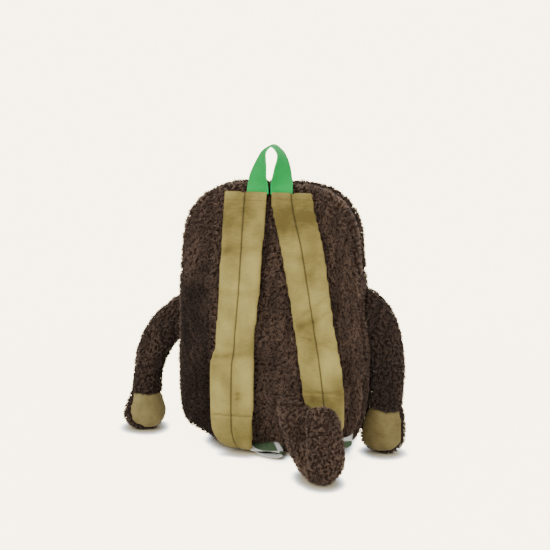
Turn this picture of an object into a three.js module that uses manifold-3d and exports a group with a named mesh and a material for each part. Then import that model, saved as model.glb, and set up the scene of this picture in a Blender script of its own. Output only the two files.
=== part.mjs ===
// A child's plush backpack in the shape of a monkey, standing on its base.
// Millimetres, +Z up. The strap side faces -Y and the face looks along +Y; left and right are as seen from
// the strap side. The origin is the middle of the flat base, on the ground.
import * as THREE from "three";
import { mergeVertices } from "three/addons/utils/BufferGeometryUtils.js";
import Module from "manifold-3d";

const wasm = await Module();
wasm.setup();
const vec = (x, y, z) => new THREE.Vector3(x, y, z);

// Driving dimensions of the bag
const bagHeight = 309;
const widthAtTop = 198;
const widthAtBelly = 209;
const bellyHeight = 112; // where the bag is widest
const widthAtBase = 205;
const topCornerRadius = 60;
const baseCornerRadius = 24;
const leftBaseLift = 18; // of the soft base towards its left corner
const rightBaseLift = 9;
const baseFlat = 96; // width of base that lies on the ground
const gussetWidth = 72; // between the two seams, at the base
const gussetWidthAtTop = 53;
const gussetPuff = 3; // how far the sides swell out between the seams
const backPuff = 17;
const frontPuff = 26;
const dentDepth = 5; // of the deepest dent or swell of the stuffed panels
const sideSwell = 8; // of the right side, where it bulges most
const plushWall = 6; // knitted backing with its pile
const seamGap = 0.5; // between two sewn panels
const restGap = 0.3; // between a piece and what it is sewn to

// Driving dimensions of the zip
const zipEndHeight = 212;
const zipTapeWidth = 16;
const zipTapeThickness = 1.6;
const zipCoilWidth = 5;
const zipCoilHeight = 1.2;
const zipSunk = 3; // below the swell of the gusset
const sliderLength = 11;
const sliderWidth = 8;
const sliderHeight = 3.4;
const pullLength = 24;
const pullWidth = 5;
const pullThickness = 1.6;

// Driving dimensions of the straps, their lower tapes and the grab handle
const strapWidth = 50;
const strapThickness = 8;
const strapGroove = 2.4; // depth of the stitched line down the middle, on each face
const strapStandOff = 12; // of a strap in front of the back panel, at its fullest
const tapeWidth = 20;
const tapeThickness = 1.4;
const handleWidth = 25;
const handleThickness = 1.6;
const handleRise = 52; // from the straps' top edge to the top of the loop
const handleTuck = 14; // sewn in behind the straps
const handleSpacing = 25.5; // between the middles of its two ends
const handleMiddle = 2.7; // off the bag's middle, to the right
const handleForward = 4.5; // in front of the back seam

// Driving dimensions of the limbs
const armWidth = 38;
const armThickness = 37;
const leftShoulderHeight = 162;
const leftWristHeight = 44;
const leftArmReach = 63; // from the bag's side to the middle of the wrist
const leftArmForward = -12;
const rightShoulderHeight = 180;
const rightWristHeight = 56;
const rightArmReach = 33;
const rightArmForward = 14;
const handWidth = 50;
const handThickness = 38;
const palmStep = 4; // from the hand's middle out to the seam round the palm
const tailWidth = 37;
const tailRoot = 29; // off the bag's middle, to the right
const tailSweep = 53; // to the right, from its root to its tip
const tailReach = 82; // in front of the back seam
const tailHeight = 86; // of its tip

// Driving dimensions of the face
const facePatchWidth = 128;
const faceHeight = 214; // of the middle of the eyes' lobes
const facePatchThickness = 3;
const muzzleWidth = 104;
const muzzleHeight = 62;
const muzzleDepth = 24;
const eyeDiameter = 14;
const eyeDome = 6;
const eyeSpacing = 44;

// How finely curved things are divided
const outlineSteps = 27; // along half of the bag's outline
const puffSteps = 5;
const tubeSides = 14;
const strapSteps = 24;
const tapeSteps = 18;
const handleSteps = 29;
const armSteps = 12;
const handSteps = 9;
const tailSteps = 17;

// The bag's outline and its swelling, front and back

const outlineCentre = bagHeight * 0.45;

// Half of the outline, from the middle of the base round to the middle of the top, evenly divided.
function halfOutline(lift) {
  const path = new THREE.Path();
  const [base, belly, top] = [widthAtBase / 2, widthAtBelly / 2, widthAtTop / 2];
  const corner = lift + baseCornerRadius;
  path.moveTo(0, 0);
  path.lineTo(baseFlat / 2, 0);
  path.quadraticCurveTo(baseFlat * 0.6, lift * 0.2, base - baseCornerRadius, lift);
  path.absarc(base - baseCornerRadius, corner, baseCornerRadius, -Math.PI / 2, 0, false);
  path.quadraticCurveTo(belly, (corner + bellyHeight) / 2, belly, bellyHeight);
  const shoulder = bagHeight - topCornerRadius;
  path.quadraticCurveTo(belly, (bellyHeight + shoulder) / 2, top, shoulder);
  path.absarc(top - topCornerRadius, shoulder, topCornerRadius, 0, Math.PI / 2, false);
  path.lineTo(0, bagHeight);
  return path.getSpacedPoints(outlineSteps);
}

// The whole outline as points (x, z), from the middle of the base round its right side.
function bagOutline() {
  const left = halfOutline(leftBaseLift).slice(1, -1).reverse();
  return [...halfOutline(rightBaseLift), ...left.map((p) => new THREE.Vector2(-p.x, p.y))];
}

// Depth of the bag at a height, as a share of its depth at the base.
function thinning(z) {
  const share = THREE.MathUtils.clamp(z / bagHeight, 0, 1);
  const eased = THREE.MathUtils.smoothstep(share, 0.25, 1.05);
  return 1 - (1 - gussetWidthAtTop / gussetWidth) * eased;
}

// The sections of the bag from the middle of its back to the middle of its front: how far each spreads,
// as a share of the outline, and its depth at the base. A squareness under 1 makes a fuller cushion.
const squareness = 0.72;
function bagSections() {
  const half = gussetWidth / 2;
  const quarter = Math.PI / 2;
  const sections = [];
  for (let i = 0; i <= puffSteps; i++) {
    const angle = (quarter * i) / puffSteps;
    const rise = i === puffSteps ? 0 : Math.cos(angle) ** squareness;
    sections.push({ spread: Math.sin(angle) ** squareness, rise, side: -1 });
  }
  const back = sections.map((s) => ({ spread: s.spread, depth: -half - backPuff * s.rise }));
  const front = sections.map((s) => ({ spread: s.spread, depth: half + frontPuff * s.rise })).reverse();
  const swell = (2 * gussetPuff) / widthAtBelly;
  const gusset = [-0.4, 0, 0.4].map((s) => ({
    spread: 1 + swell * (1 - 1.6 * s * s),
    depth: s * gussetWidth,
  }));
  return [...back, ...gusset, ...front];
}

// A point of the outline carried to a section. Below its middle the gusset doesn't swell, so that the base
// stays flat.
function sectionPoint(point, { spread, depth }) {
  const swollen = spread > 1 && point.y < outlineCentre;
  const z = outlineCentre + (point.y - outlineCentre) * (swollen ? 1 : spread);
  return vec(point.x * spread, depth * thinning(z), z);
}

// Soft dents and swells of the stuffed bag, pushed along y: x and z are shares of the bag's width and height,
// wide and tall those of the dent, and push is a share of the dent's depth, outwards if it is positive.
const dents = [
  { side: -1, x: -0.36, z: 0.3, wide: 0.16, tall: 0.2, push: 0.8 },
  { side: -1, x: 0.34, z: 0.26, wide: 0.14, tall: 0.22, push: 0.6 },
  { side: -1, x: 0.42, z: 0.55, wide: 0.06, tall: 0.3, push: -0.6 },
  { side: -1, x: -0.4, z: 0.62, wide: 0.1, tall: 0.1, push: -0.6 },
  { side: 1, x: 0, z: 0.25, wide: 0.3, tall: 0.2, push: 1 },
  { side: 1, x: -0.3, z: 0.12, wide: 0.12, tall: 0.1, push: -0.6 },
  { side: 1, x: 0.32, z: 0.14, wide: 0.1, tall: 0.12, push: -0.6 },
];
// Where a side swells outwards: its height is a share of the bag's height, push of the side's swell.
const sideSwells = [
  { side: 1, z: 0.36, tall: 0.24, push: 1 },
  { side: 1, z: 0.2, tall: 0.08, push: 0.4 },
  { side: -1, z: 0.2, tall: 0.14, push: 0.25 },
  { side: -1, z: 0.64, tall: 0.08, push: 0.25 },
];
function dented(p) {
  const half = gussetWidth / 2;
  for (const s of sideSwells) {
    const out = Math.max((2 * s.side * p.x) / widthAtBelly, 0);
    const up = (p.z / bagHeight - s.z) / s.tall;
    p.x += s.side * s.push * sideSwell * out * out * Math.exp(-up * up);
  }
  for (const d of dents) {
    const outside = d.side * p.y - half * thinning(p.z);
    if (outside <= 0) continue;
    const across = (p.x / widthAtBelly - d.x) / d.wide;
    const up = (p.z / bagHeight - d.z) / d.tall;
    const fade = THREE.MathUtils.clamp(outside / backPuff, 0, 1);
    p.y += d.side * d.push * dentDepth * fade * Math.exp(-across * across - up * up);
  }
  return p;
}

// Solids

// A closed mesh as a solid, with its faces turned outwards.
function solidOf(geometry) {
  const bare = new THREE.BufferGeometry();
  bare.setAttribute("position", geometry.getAttribute("position"));
  if (geometry.index) bare.setIndex(geometry.index);
  const merged = mergeVertices(bare, 1e-4);
  const triangles = [];
  for (let i = 0; i < merged.index.count; i += 3) {
    const [a, b, c] = [0, 1, 2].map((k) => merged.index.getX(i + k));
    if (a !== b && b !== c && c !== a) triangles.push(a, b, c);
  }
  const vertProperties = new Float32Array(merged.getAttribute("position").array);
  const make = (list) =>
    new wasm.Manifold(new wasm.Mesh({ numProp: 3, vertProperties, triVerts: new Uint32Array(list) }));
  const made = make(triangles);
  if (made.volume() > 0) return made;
  const turned = [];
  for (let i = 0; i < triangles.length; i += 3) turned.push(triangles[i], triangles[i + 2], triangles[i + 1]);
  return make(turned);
}

// What is left of a piece when its neighbours have cut off its tucked-in end.
function largestPart(solid) {
  return solid.decompose().reduce((a, b) => (b.volume() > a.volume() ? b : a));
}

function geometryOf(solid) {
  const mesh = solid.getMesh();
  const positions = [];
  for (let i = 0; i < mesh.numVert; i++) {
    positions.push(...mesh.vertProperties.subarray(i * mesh.numProp, i * mesh.numProp + 3));
  }
  const geometry = new THREE.BufferGeometry();
  geometry.setAttribute("position", new THREE.Float32BufferAttribute(positions, 3));
  geometry.setIndex([...mesh.triVerts]);
  geometry.computeVertexNormals();
  return geometry;
}

// Rings of points joined into a skin, with a flat cap of triangles at each end.
function skinned(rings) {
  const sides = rings[0].length;
  const points = rings.flat();
  const index = [];
  for (let r = 0; r + 1 < rings.length; r++) {
    for (let s = 0; s < sides; s++) {
      const next = (s + 1) % sides;
      const [a, b] = [r * sides + s, r * sides + next];
      const [c, d] = [a + sides, b + sides];
      index.push(a, b, d, a, d, c);
    }
  }
  for (const [ring, flip] of [[0, true], [rings.length - 1, false]]) {
    const middle = rings[ring].reduce((sum, p) => sum.add(p), vec(0, 0, 0)).divideScalar(sides);
    points.push(middle);
    for (let s = 0; s < sides; s++) {
      const [a, b] = [ring * sides + s, ring * sides + ((s + 1) % sides)];
      index.push(points.length - 1, flip ? b : a, flip ? a : b);
    }
  }
  const geometry = new THREE.BufferGeometry().setFromPoints(points);
  geometry.setIndex(index);
  return geometry;
}

// A section swept along rows of {centre, across, width, thickness}; the section's points are halves of them.
function swept(rows, section) {
  return skinned(
    rows.map((row, i) => {
      const before = rows[Math.max(i - 1, 0)].centre;
      const after = rows[Math.min(i + 1, rows.length - 1)].centre;
      const along = after.clone().sub(before).normalize();
      const across = row.across.clone().normalize();
      const through = vec(0, 0, 0).crossVectors(along, across).normalize();
      return section.map(([a, b]) =>
        row.centre
          .clone()
          .addScaledVector(across, (a * row.width) / 2)
          .addScaledVector(through, (b * row.thickness) / 2),
      );
    }),
  );
}

// Rows of a table read at even steps along a smooth curve through their centres.
function smoothRows(table, steps) {
  const curve = new THREE.CatmullRomCurve3(table.map((row) => row.centre), false, "centripetal");
  return Array.from({ length: steps + 1 }, (_, i) => {
    const at = (i / steps) * (table.length - 1);
    const [low, high] = [Math.floor(at), Math.min(Math.floor(at) + 1, table.length - 1)];
    const mix = at - low;
    const blend = (key) => THREE.MathUtils.lerp(table[low][key], table[high][key], mix);
    return {
      centre: curve.getPoint(i / steps),
      across: table[low].across.clone().lerp(table[high].across, mix).normalize(),
      width: blend("width"),
      thickness: blend("thickness"),
    };
  });
}

const flatSection = [[-1, -1], [0, -1], [1, -1], [1, 1], [0, 1], [-1, 1]];
const roundSection = Array.from({ length: tubeSides }, (_, i) => {
  const angle = (2 * Math.PI * i) / tubeSides;
  return [Math.cos(angle), Math.sin(angle)];
});

// The bag's closed outer surface moved outwards by a distance, as a solid.
function bagVolume(distance) {
  const outline = bagOutline();
  const sections = bagSections();
  const inner = sections.slice(1, -1).map((s) => outline.map((p) => dented(sectionPoint(p, s))));
  const points = inner.flat();
  const count = outline.length;
  const index = [];
  for (let r = 0; r + 1 < inner.length; r++) {
    for (let i = 0; i < count; i++) {
      const next = (i + 1) % count;
      const [a, b] = [r * count + i, r * count + next];
      index.push(a, b + count, b, a, a + count, b + count);
    }
  }
  const ends = [[sections[0], 0, false], [sections[sections.length - 1], inner.length - 1, true]];
  for (const [section, ring, flip] of ends) {
    points.push(dented(sectionPoint(new THREE.Vector2(0, outlineCentre), section)));
    for (let i = 0; i < count; i++) {
      const [a, b] = [ring * count + i, ring * count + ((i + 1) % count)];
      index.push(points.length - 1, flip ? b : a, flip ? a : b);
    }
  }
  const geometry = new THREE.BufferGeometry().setFromPoints(points);
  geometry.setIndex(index);
  geometry.computeVertexNormals();
  const [position, normal] = [geometry.getAttribute("position"), geometry.getAttribute("normal")];
  const outwards = vec().fromBufferAttribute(normal, position.count - 2).y < 0 ? 1 : -1;
  for (let i = 0; i < position.count; i++) {
    const p = vec().fromBufferAttribute(position, i);
    p.addScaledVector(vec().fromBufferAttribute(normal, i), distance * outwards);
    position.setXYZ(i, p.x, p.y, p.z);
  }
  return solidOf(geometry);
}

const far = 3 * bagHeight;

// All that lies between two depths and two heights. The depths are the base's, and follow the bag's thinning
// towards its top, as its seams do.
function sewingRegion({ from = -far, to = far, low = -far, high = far }) {
  const depthAt = (d, z) => (Math.abs(d) === far ? d : d * thinning(z));
  const steps = 10;
  const heights = Array.from({ length: steps + 1 }, (_, i) => (bagHeight * i) / steps);
  const inside = [low, ...heights.filter((z) => z > low && z < high), high];
  const shape = new THREE.Shape([
    ...inside.map((z) => new THREE.Vector2(depthAt(from, z), z)),
    ...inside.reverse().map((z) => new THREE.Vector2(depthAt(to, z), z)),
  ]);
  const geometry = new THREE.ExtrudeGeometry(shape, { depth: 2 * far, bevelEnabled: false });
  geometry.translate(0, 0, -far);
  // The shape's (x, y) are the bag's (y, z), and it is extruded along the bag's x.
  geometry.applyMatrix4(new THREE.Matrix4().set(0, 0, 1, 0, 1, 0, 0, 0, 0, 1, 0, 0, 0, 0, 0, 1));
  return solidOf(geometry);
}

// Materials

const cloth = (color, roughness = 0.95) => new THREE.MeshStandardMaterial({ color, roughness, metalness: 0 });
const brownPlush = cloth(0x4a3c35);
const khakiVelour = cloth(0xa3935c);
const greenWebbing = cloth(0x3fae5c, 0.7);
const leafTape = cloth(0xb9c2b4, 0.8);
const zipTape = cloth(0x2b2522, 0.8);
const darkMetal = new THREE.MeshStandardMaterial({ color: 0x6f6a64, roughness: 0.4, metalness: 0.8 });
const blackEye = new THREE.MeshStandardMaterial({ color: 0x0b0a0a, roughness: 0.15, metalness: 0 });

const backpack = new THREE.Group();
function add(name, solid, material) {
  const mesh = new THREE.Mesh(geometryOf(solid), material);
  mesh.name = name;
  backpack.add(mesh);
  return mesh;
}

// The bag: a back panel, a front panel, and a gusset that the zip divides over the top

const bagOuter = bagVolume(0);
const bagKeepOut = bagVolume(restGap);
const bagShell = bagOuter.subtract(bagVolume(-plushWall));
const seam = gussetWidth / 2;
const probeWidth = 1; // of the needle that feels for the bag's surface

// How far forward or back the bag's surface lies at a place, or its seam where the place is off the panel.
function surfaceDepth(side, x, z) {
  const needle = new THREE.BoxGeometry(probeWidth, far, probeWidth);
  const probe = solidOf(needle.translate(x, (side * far) / 2, z));
  const found = bagOuter.intersect(probe);
  const edge = side * seam * thinning(z);
  if (found.isEmpty()) return edge;
  const box = found.boundingBox();
  return side < 0 ? Math.min(box.min[1], edge) : Math.max(box.max[1], edge);
}

// The zip: a tape in the slot of the gusset with its coil standing on it, and a slider at its left end

function zipRows() {
  const puffed = 1 + (2 * gussetPuff) / widthAtBelly;
  const outline = bagOutline().map((p) => sectionPoint(p, { spread: puffed, depth: 0 }));
  const over = outline.filter((p) => p.z > zipEndHeight - bagHeight / outlineSteps);
  const middle = vec(0, 0, outlineCentre);
  return over.map((p) => ({
    centre: p.clone().addScaledVector(middle.clone().sub(p).normalize(), zipSunk),
    across: vec(0, 1, 0),
    width: zipTapeWidth,
    thickness: zipTapeThickness,
  }));
}

// The slider rides over the coil; its pull hangs down outside the gusset.
function slider(grown = 0) {
  const end = zipRows().pop().centre;
  const face = end.x - zipTapeThickness / 2 - zipCoilHeight - restGap;
  const height = zipEndHeight + sliderLength / 2;
  const box = (...sizes) => new THREE.BoxGeometry(...sizes.map((size) => size + 2 * grown));
  const body = box(sliderHeight, sliderWidth, sliderLength).translate(face - sliderHeight / 2, 0, height);
  const pull = box(pullThickness, pullWidth, pullLength);
  pull.translate(face - sliderHeight, 0, height - pullLength / 2);
  return solidOf(body).add(solidOf(pull));
}
const sliderKeepOut = slider(restGap);

function zip() {
  const [half, top] = [zipCoilWidth / zipTapeWidth, 1 + (2 * zipCoilHeight) / zipTapeThickness];
  const section = [[-1, -1], [1, -1], [1, 1], [half, 1], [half, top], [-half, top], [-half, 1], [-1, 1]];
  const tape = solidOf(swept(zipRows(), section));
  add("zip", tape.trimByPlane([0, 0, 1], zipEndHeight + seamGap), zipTape);
  add("zip_slider", slider(), darkMetal);
}

function bagPanels() {
  const cut = (region) => bagShell.intersect(sewingRegion(region));
  add("back_panel", cut({ to: -seam - seamGap / 2 }), brownPlush);
  add("front_panel", cut({ from: seam + seamGap / 2 }), brownPlush);
  const between = { from: -seam + seamGap / 2, to: seam - seamGap / 2 };
  const gusset = cut({ ...between, high: zipEndHeight - seamGap / 2 });
  add("side_gusset", gusset.subtract(sliderKeepOut), brownPlush);
  const over = cut({ ...between, low: zipEndHeight + seamGap / 2 });
  const slot = zipTapeWidth / 2 + restGap;
  add("zip_strip_back", over.trimByPlane([0, -1, 0], slot), brownPlush);
  add("zip_strip_front", over.trimByPlane([0, 1, 0], slot), brownPlush);
}

// Padded shoulder straps: sewn in at the top of the back panel, hanging clear of it down to the floor

// Halves of a strap's section: a soft edge, and a line of stitches that pulls both faces in at the middle.
const groove = 1 - (2 * strapGroove) / strapThickness;
const strapSection = [
  [-1, -0.45], [-0.86, -0.9], [-0.45, -1], [-0.12, -0.92], [0, -groove],
  [0.12, -0.92], [0.45, -1], [0.86, -0.9], [1, -0.45],
  [1, 0.45], [0.86, 0.9], [0.45, 1], [0.12, 0.92], [0, groove],
  [-0.12, 0.92], [-0.45, 1], [-0.86, 0.9], [-1, 0.45],
];

// Each row is a station down a strap. The middle's x is a share of half the bag's width, z of its height, and
// off of the strap's greatest stand-off from the panel. Width and thick are shares of the strap's own, turn
// is how much it faces sideways, in degrees, and lean is the slope of its width up to the right.
const strapStations = {
  left: [
    { x: -0.239, z: 1, off: 0.475, width: 1.04, thick: 0.62 },
    { x: -0.239, z: 0.979, off: 0.21, width: 1.04, thick: 0.7 },
    { x: -0.239, z: 0.939, off: 0.3, width: 1.02, thick: 0.82 },
    { x: -0.239, z: 0.825, off: 0.7, width: 1, thick: 1 },
    { x: -0.258, z: 0.68, off: 0.75, width: 1, thick: 1, turn: -2 },
    { x: -0.273, z: 0.576, off: 0.9, width: 0.98, thick: 1, turn: -3 },
    { x: -0.297, z: 0.485, off: 0.77, width: 0.95, thick: 1 },
    { x: -0.304, z: 0.425, off: 0.85, width: 0.95, thick: 0.9, turn: 2 },
    { x: -0.322, z: 0.385, off: 0.93, width: 1.07, thick: 1, turn: 2 },
    { x: -0.33, z: 0.291, off: 1, width: 1.09, thick: 1 },
    { x: -0.34, z: 0.178, off: 1, width: 1.06, thick: 1 },
    { x: -0.344, z: 0.094, off: 0.92, width: 1, thick: 1, turn: 2, lean: -0.06 },
    { x: -0.32, z: 0.039, off: 0.68, width: 0.84, thick: 1, turn: 6, lean: -0.16 },
    { x: -0.287, z: 0.017, off: 0.08, width: 0.6, thick: 0.88, turn: 8, lean: -0.16 },
  ],
  right: [
    { x: 0.268, z: 1, off: 0.475, width: 1, thick: 0.62 },
    { x: 0.276, z: 0.979, off: 0.21, width: 1, thick: 0.7 },
    { x: 0.301, z: 0.939, off: 0.3, width: 1, thick: 0.82 },
    { x: 0.411, z: 0.816, off: 0.79, width: 1, thick: 1, turn: 2 },
    { x: 0.5, z: 0.663, off: 0.94, width: 0.98, thick: 1, turn: 4 },
    { x: 0.567, z: 0.534, off: 1, width: 0.97, thick: 1, turn: 2 },
    { x: 0.641, z: 0.395, off: 1, width: 1.02, thick: 1 },
    { x: 0.684, z: 0.291, off: 1, width: 1, thick: 1 },
    { x: 0.708, z: 0.194, off: 0.9, width: 0.92, thick: 1, turn: -2 },
    { x: 0.708, z: 0.1165, off: 0.8, width: 0.84, thick: 1, turn: -4 },
    { x: 0.7, z: 0.065, off: 0.38, width: 0.72, thick: 1, turn: -4 },
  ],
};

function strap(side, grown = 0) {
  const table = strapStations[side].map((s) => {
    const turn = THREE.MathUtils.degToRad(s.turn ?? 0);
    const [x, z] = [(s.x * widthAtBelly) / 2, s.z * bagHeight];
    const thickness = s.thick * strapThickness;
    return {
      centre: vec(x, surfaceDepth(-1, x, z) - s.off * strapStandOff - thickness / 2, z),
      across: vec(Math.cos(turn), Math.sin(turn), s.lean ?? 0),
      width: s.width * strapWidth + 2 * grown,
      thickness: thickness + 2 * grown,
    };
  });
  return solidOf(swept(smoothRows(table, strapSteps), strapSection));
}

// Lower tapes: from a strap's end to the bag's base

// Each row is a station of a tape's middle and the direction across it. Its x is a share of half the bag's
// width at the base; how far it lies in front of the back seam, and its height, are shares of its own width.
const tapeStations = {
  left: [
    { x: -0.234, out: 0.5, up: 0.33, across: [0.05, 0.95, 0.25] },
    { x: -0.06, out: 0.62, up: 0.46, across: [0.05, 0.92, 0.38] },
    { x: 0.1, out: 0.68, up: 0.54, across: [0, 0.92, 0.4] },
    { x: 0.185, out: 0.77, up: 0.48, across: [-0.1, 0.95, 0.3] },
    { x: 0.22, out: 0.87, up: 0.28, across: [-0.15, 1, 0.1] },
    { x: 0.166, out: 0.92, up: 0.09, across: [0, 1, 0] },
    { x: 0.05, out: 0.75, up: 0.055, across: [0.35, 1, 0] },
    { x: -0.05, out: 0.35, up: 0.055, across: [0.7, 0.7, 0] },
    { x: -0.1, out: -0.15, up: 0.055, across: [0.95, 0.3, 0] },
  ],
  right: [
    { x: 0.7, out: 0.9, up: 0.9, across: [0.1, -0.35, 0.95] },
    { x: 0.84, out: 0.8, up: 0.96, across: [0.1, -0.4, 0.92] },
    { x: 0.945, out: 0.5, up: 1, across: [0.1, -0.45, 0.9] },
    { x: 1, out: -0.2, up: 1.02, across: [0.1, -0.4, 0.92] },
  ],
};

function lowerTape(side) {
  const table = tapeStations[side].map((s) => ({
    centre: vec((s.x * widthAtBase) / 2, -seam - s.out * tapeWidth, s.up * tapeWidth),
    across: vec(...s.across),
    width: tapeWidth,
    thickness: tapeThickness,
  }));
  return solidOf(swept(smoothRows(table, tapeSteps), flatSection));
}

// The grab handle: webbing whose two ends lie flat side by side under the straps, twisted a quarter turn
// each way so that it lies flat in the hand at the top

// Each row is a station round the loop: x is a share of half the spacing of its ends, up of its rise above
// the straps' top edge, tuck of its sewn-in ends below it, and turn is the direction across it, in degrees.
const handleStations = [
  { x: -1.08, tuck: 1, turn: 180 },
  { x: -1.08, tuck: 0.45, turn: 180 },
  { x: -1.1, up: 0.02, turn: 180 },
  { x: -1.12, up: 0.166, turn: 165 },
  { x: -1.1, up: 0.35, turn: 150 },
  { x: -0.94, up: 0.52, turn: 138 },
  { x: -0.73, up: 0.73, turn: 121 },
  { x: -0.5, up: 0.87, turn: 109 },
  { x: 0.22, up: 0.99, turn: 94 },
  { x: 0.84, up: 0.87, turn: 86 },
  { x: 1.07, up: 0.73, turn: 76 },
  { x: 1.1, up: 0.52, turn: 56 },
  { x: 1.08, up: 0.35, turn: 42 },
  { x: 1.04, up: 0.166, turn: 20 },
  { x: 1.06, up: 0.02, turn: 2 },
  { x: 1.06, tuck: 0.45, turn: 0 },
  { x: 1.06, tuck: 1, turn: 0 },
];

function grabHandle(grown = 0) {
  const table = handleStations.map((s) => {
    const turn = THREE.MathUtils.degToRad(s.turn);
    const x = handleMiddle + (s.x * handleSpacing) / 2;
    const z = bagHeight + (s.tuck ? -s.tuck * handleTuck : s.up * handleRise);
    const tucked = surfaceDepth(-1, x, z) - handleThickness / 2 - restGap;
    return {
      centre: vec(x, s.tuck ? tucked : -seam * thinning(bagHeight) - handleForward, z),
      across: vec(Math.cos(turn), Math.sin(turn), 0),
      width: handleWidth + 2 * grown,
      thickness: handleThickness + 2 * grown,
    };
  });
  return solidOf(swept(smoothRows(table, handleSteps), flatSection));
}

// Stuffed limbs

// Each row is a station down a sleeve: out is a share of the arm's reach from the bag's side, forward of how
// far it comes towards the strap side, up of the height from wrist to shoulder.
const armStations = {
  left: [
    { out: -0.33, forward: 0, up: 1, width: 1.1, thick: 1.19 },
    { out: -0.07, forward: 0.17, up: 0.966, width: 1.1, thick: 1.13 },
    { out: 0.17, forward: 0.42, up: 0.898, width: 1.05, thick: 1.08 },
    { out: 0.48, forward: 0.67, up: 0.763, width: 0.98, thick: 1.08 },
    { out: 0.7, forward: 0.92, up: 0.61, width: 0.95, thick: 1.06 },
    { out: 0.84, forward: 1, up: 0.458, width: 0.93, thick: 1 },
    { out: 0.93, forward: 1.08, up: 0.305, width: 0.91, thick: 0.92 },
    { out: 0.975, forward: 1.08, up: 0.153, width: 0.92, thick: 0.92 },
    { out: 1, forward: 1, up: 0, width: 0.95, thick: 0.95 },
  ],
  right: [
    { out: -0.45, forward: 0.1, up: 1, width: 1.1, thick: 1.13 },
    { out: -0.02, forward: 0.15, up: 0.968, width: 1.1, thick: 1.13 },
    { out: 0.39, forward: 0.25, up: 0.903, width: 1.05, thick: 1.05 },
    { out: 0.7, forward: 0.35, up: 0.79, width: 1.03, thick: 1 },
    { out: 0.89, forward: 0.45, up: 0.661, width: 1, thick: 0.97 },
    { out: 1.02, forward: 0.6, up: 0.5, width: 0.97, thick: 0.95 },
    { out: 1.06, forward: 0.75, up: 0.323, width: 0.97, thick: 0.95 },
    { out: 1.05, forward: 0.85, up: 0.161, width: 1, thick: 0.97 },
    { out: 1, forward: 1, up: 0, width: 1.03, thick: 1.03 },
  ],
};

// The same down a hand: side and ahead are shares of its width, from the wrist, and up of the wrist's height.
const handStations = {
  left: [
    { side: 0, ahead: 0, up: 1, width: 0.72, thick: 0.9 },
    { side: 0.02, ahead: 0.08, up: 0.727, width: 0.92, thick: 1 },
    { side: 0.04, ahead: 0.18, up: 0.514, width: 1.06, thick: 1 },
    { side: 0.04, ahead: 0.36, up: 0.391, width: 1.04, thick: 0.97 },
    { side: 0.04, ahead: 0.52, up: 0.345, width: 0.84, thick: 0.74 },
    { side: 0.04, ahead: 0.62, up: 0.332, width: 0.4, thick: 0.32 },
  ],
  right: [
    { side: 0, ahead: 0, up: 1, width: 0.8, thick: 0.95 },
    { side: -0.02, ahead: 0.04, up: 0.786, width: 0.93, thick: 1 },
    { side: -0.05, ahead: 0.08, up: 0.518, width: 1.06, thick: 1 },
    { side: -0.04, ahead: 0.1, up: 0.26, width: 1, thick: 0.84 },
    { side: -0.03, ahead: 0.1, up: 0.12, width: 0.74, thick: 0.55 },
    { side: -0.03, ahead: 0.1, up: 0.035, width: 0.34, thick: 0.24 },
  ],
};

// And down the tail: sweep, reach and up are shares of its own sweep, reach and height.
const tailStations = [
  { sweep: 0, reach: 0.02, up: 0.79, width: 0.97, thick: 0.97, across: [0.85, 0.5, 0] },
  { sweep: 0.15, reach: 0.24, up: 0.72, width: 1, thick: 1, across: [0.85, 0.5, 0] },
  { sweep: 0.36, reach: 0.52, up: 0.535, width: 1.03, thick: 1.03, across: [0.85, 0.5, 0] },
  { sweep: 0.62, reach: 0.77, up: 0.314, width: 1, thick: 1.03, across: [0.85, 0.5, 0] },
  { sweep: 0.9, reach: 0.93, up: 0.206, width: 1, thick: 1.06, across: [0.9, 0.4, 0] },
  { sweep: 1.03, reach: 0.99, up: 0.3, width: 1, thick: 1.08, across: [0.95, 0.3, 0] },
  { sweep: 1.01, reach: 1, up: 0.58, width: 0.97, thick: 0.97, across: [1, 0.1, 0] },
  { sweep: 0.97, reach: 1, up: 0.79, width: 0.94, thick: 0.81, across: [1, 0, 0] },
  { sweep: 0.94, reach: 0.99, up: 0.93, width: 0.86, thick: 0.51, across: [1, 0, 0] },
  { sweep: 0.93, reach: 0.99, up: 1, width: 0.7, thick: 0.22, across: [1, 0, 0] },
];

function limb(rows, steps) {
  return solidOf(swept(smoothRows(rows, steps), roundSection));
}

const limbs = {
  left: {
    away: -1,
    reach: leftArmReach,
    forward: leftArmForward,
    shoulder: leftShoulderHeight,
    wrist: leftWristHeight,
    palmFacing: [0.5, -0.7, 0.51], // tipped up by the ground
  },
  right: {
    away: 1,
    reach: rightArmReach,
    forward: rightArmForward,
    shoulder: rightShoulderHeight,
    wrist: rightWristHeight,
    palmFacing: [-0.06, -0.99, 0.1],
  },
};

function sleeve(side, grown = 0) {
  const { away, reach, forward, shoulder, wrist } = limbs[side];
  const rows = armStations[side].map((s) => ({
    centre: vec(
      away * (widthAtBelly / 2 + s.out * reach),
      -s.forward * forward,
      wrist + s.up * (shoulder - wrist),
    ),
    across: vec(0, 1, 0),
    width: s.width * armWidth + 2 * grown,
    thickness: s.thick * armThickness + 2 * grown,
  }));
  return limb(rows, armSteps);
}

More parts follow.
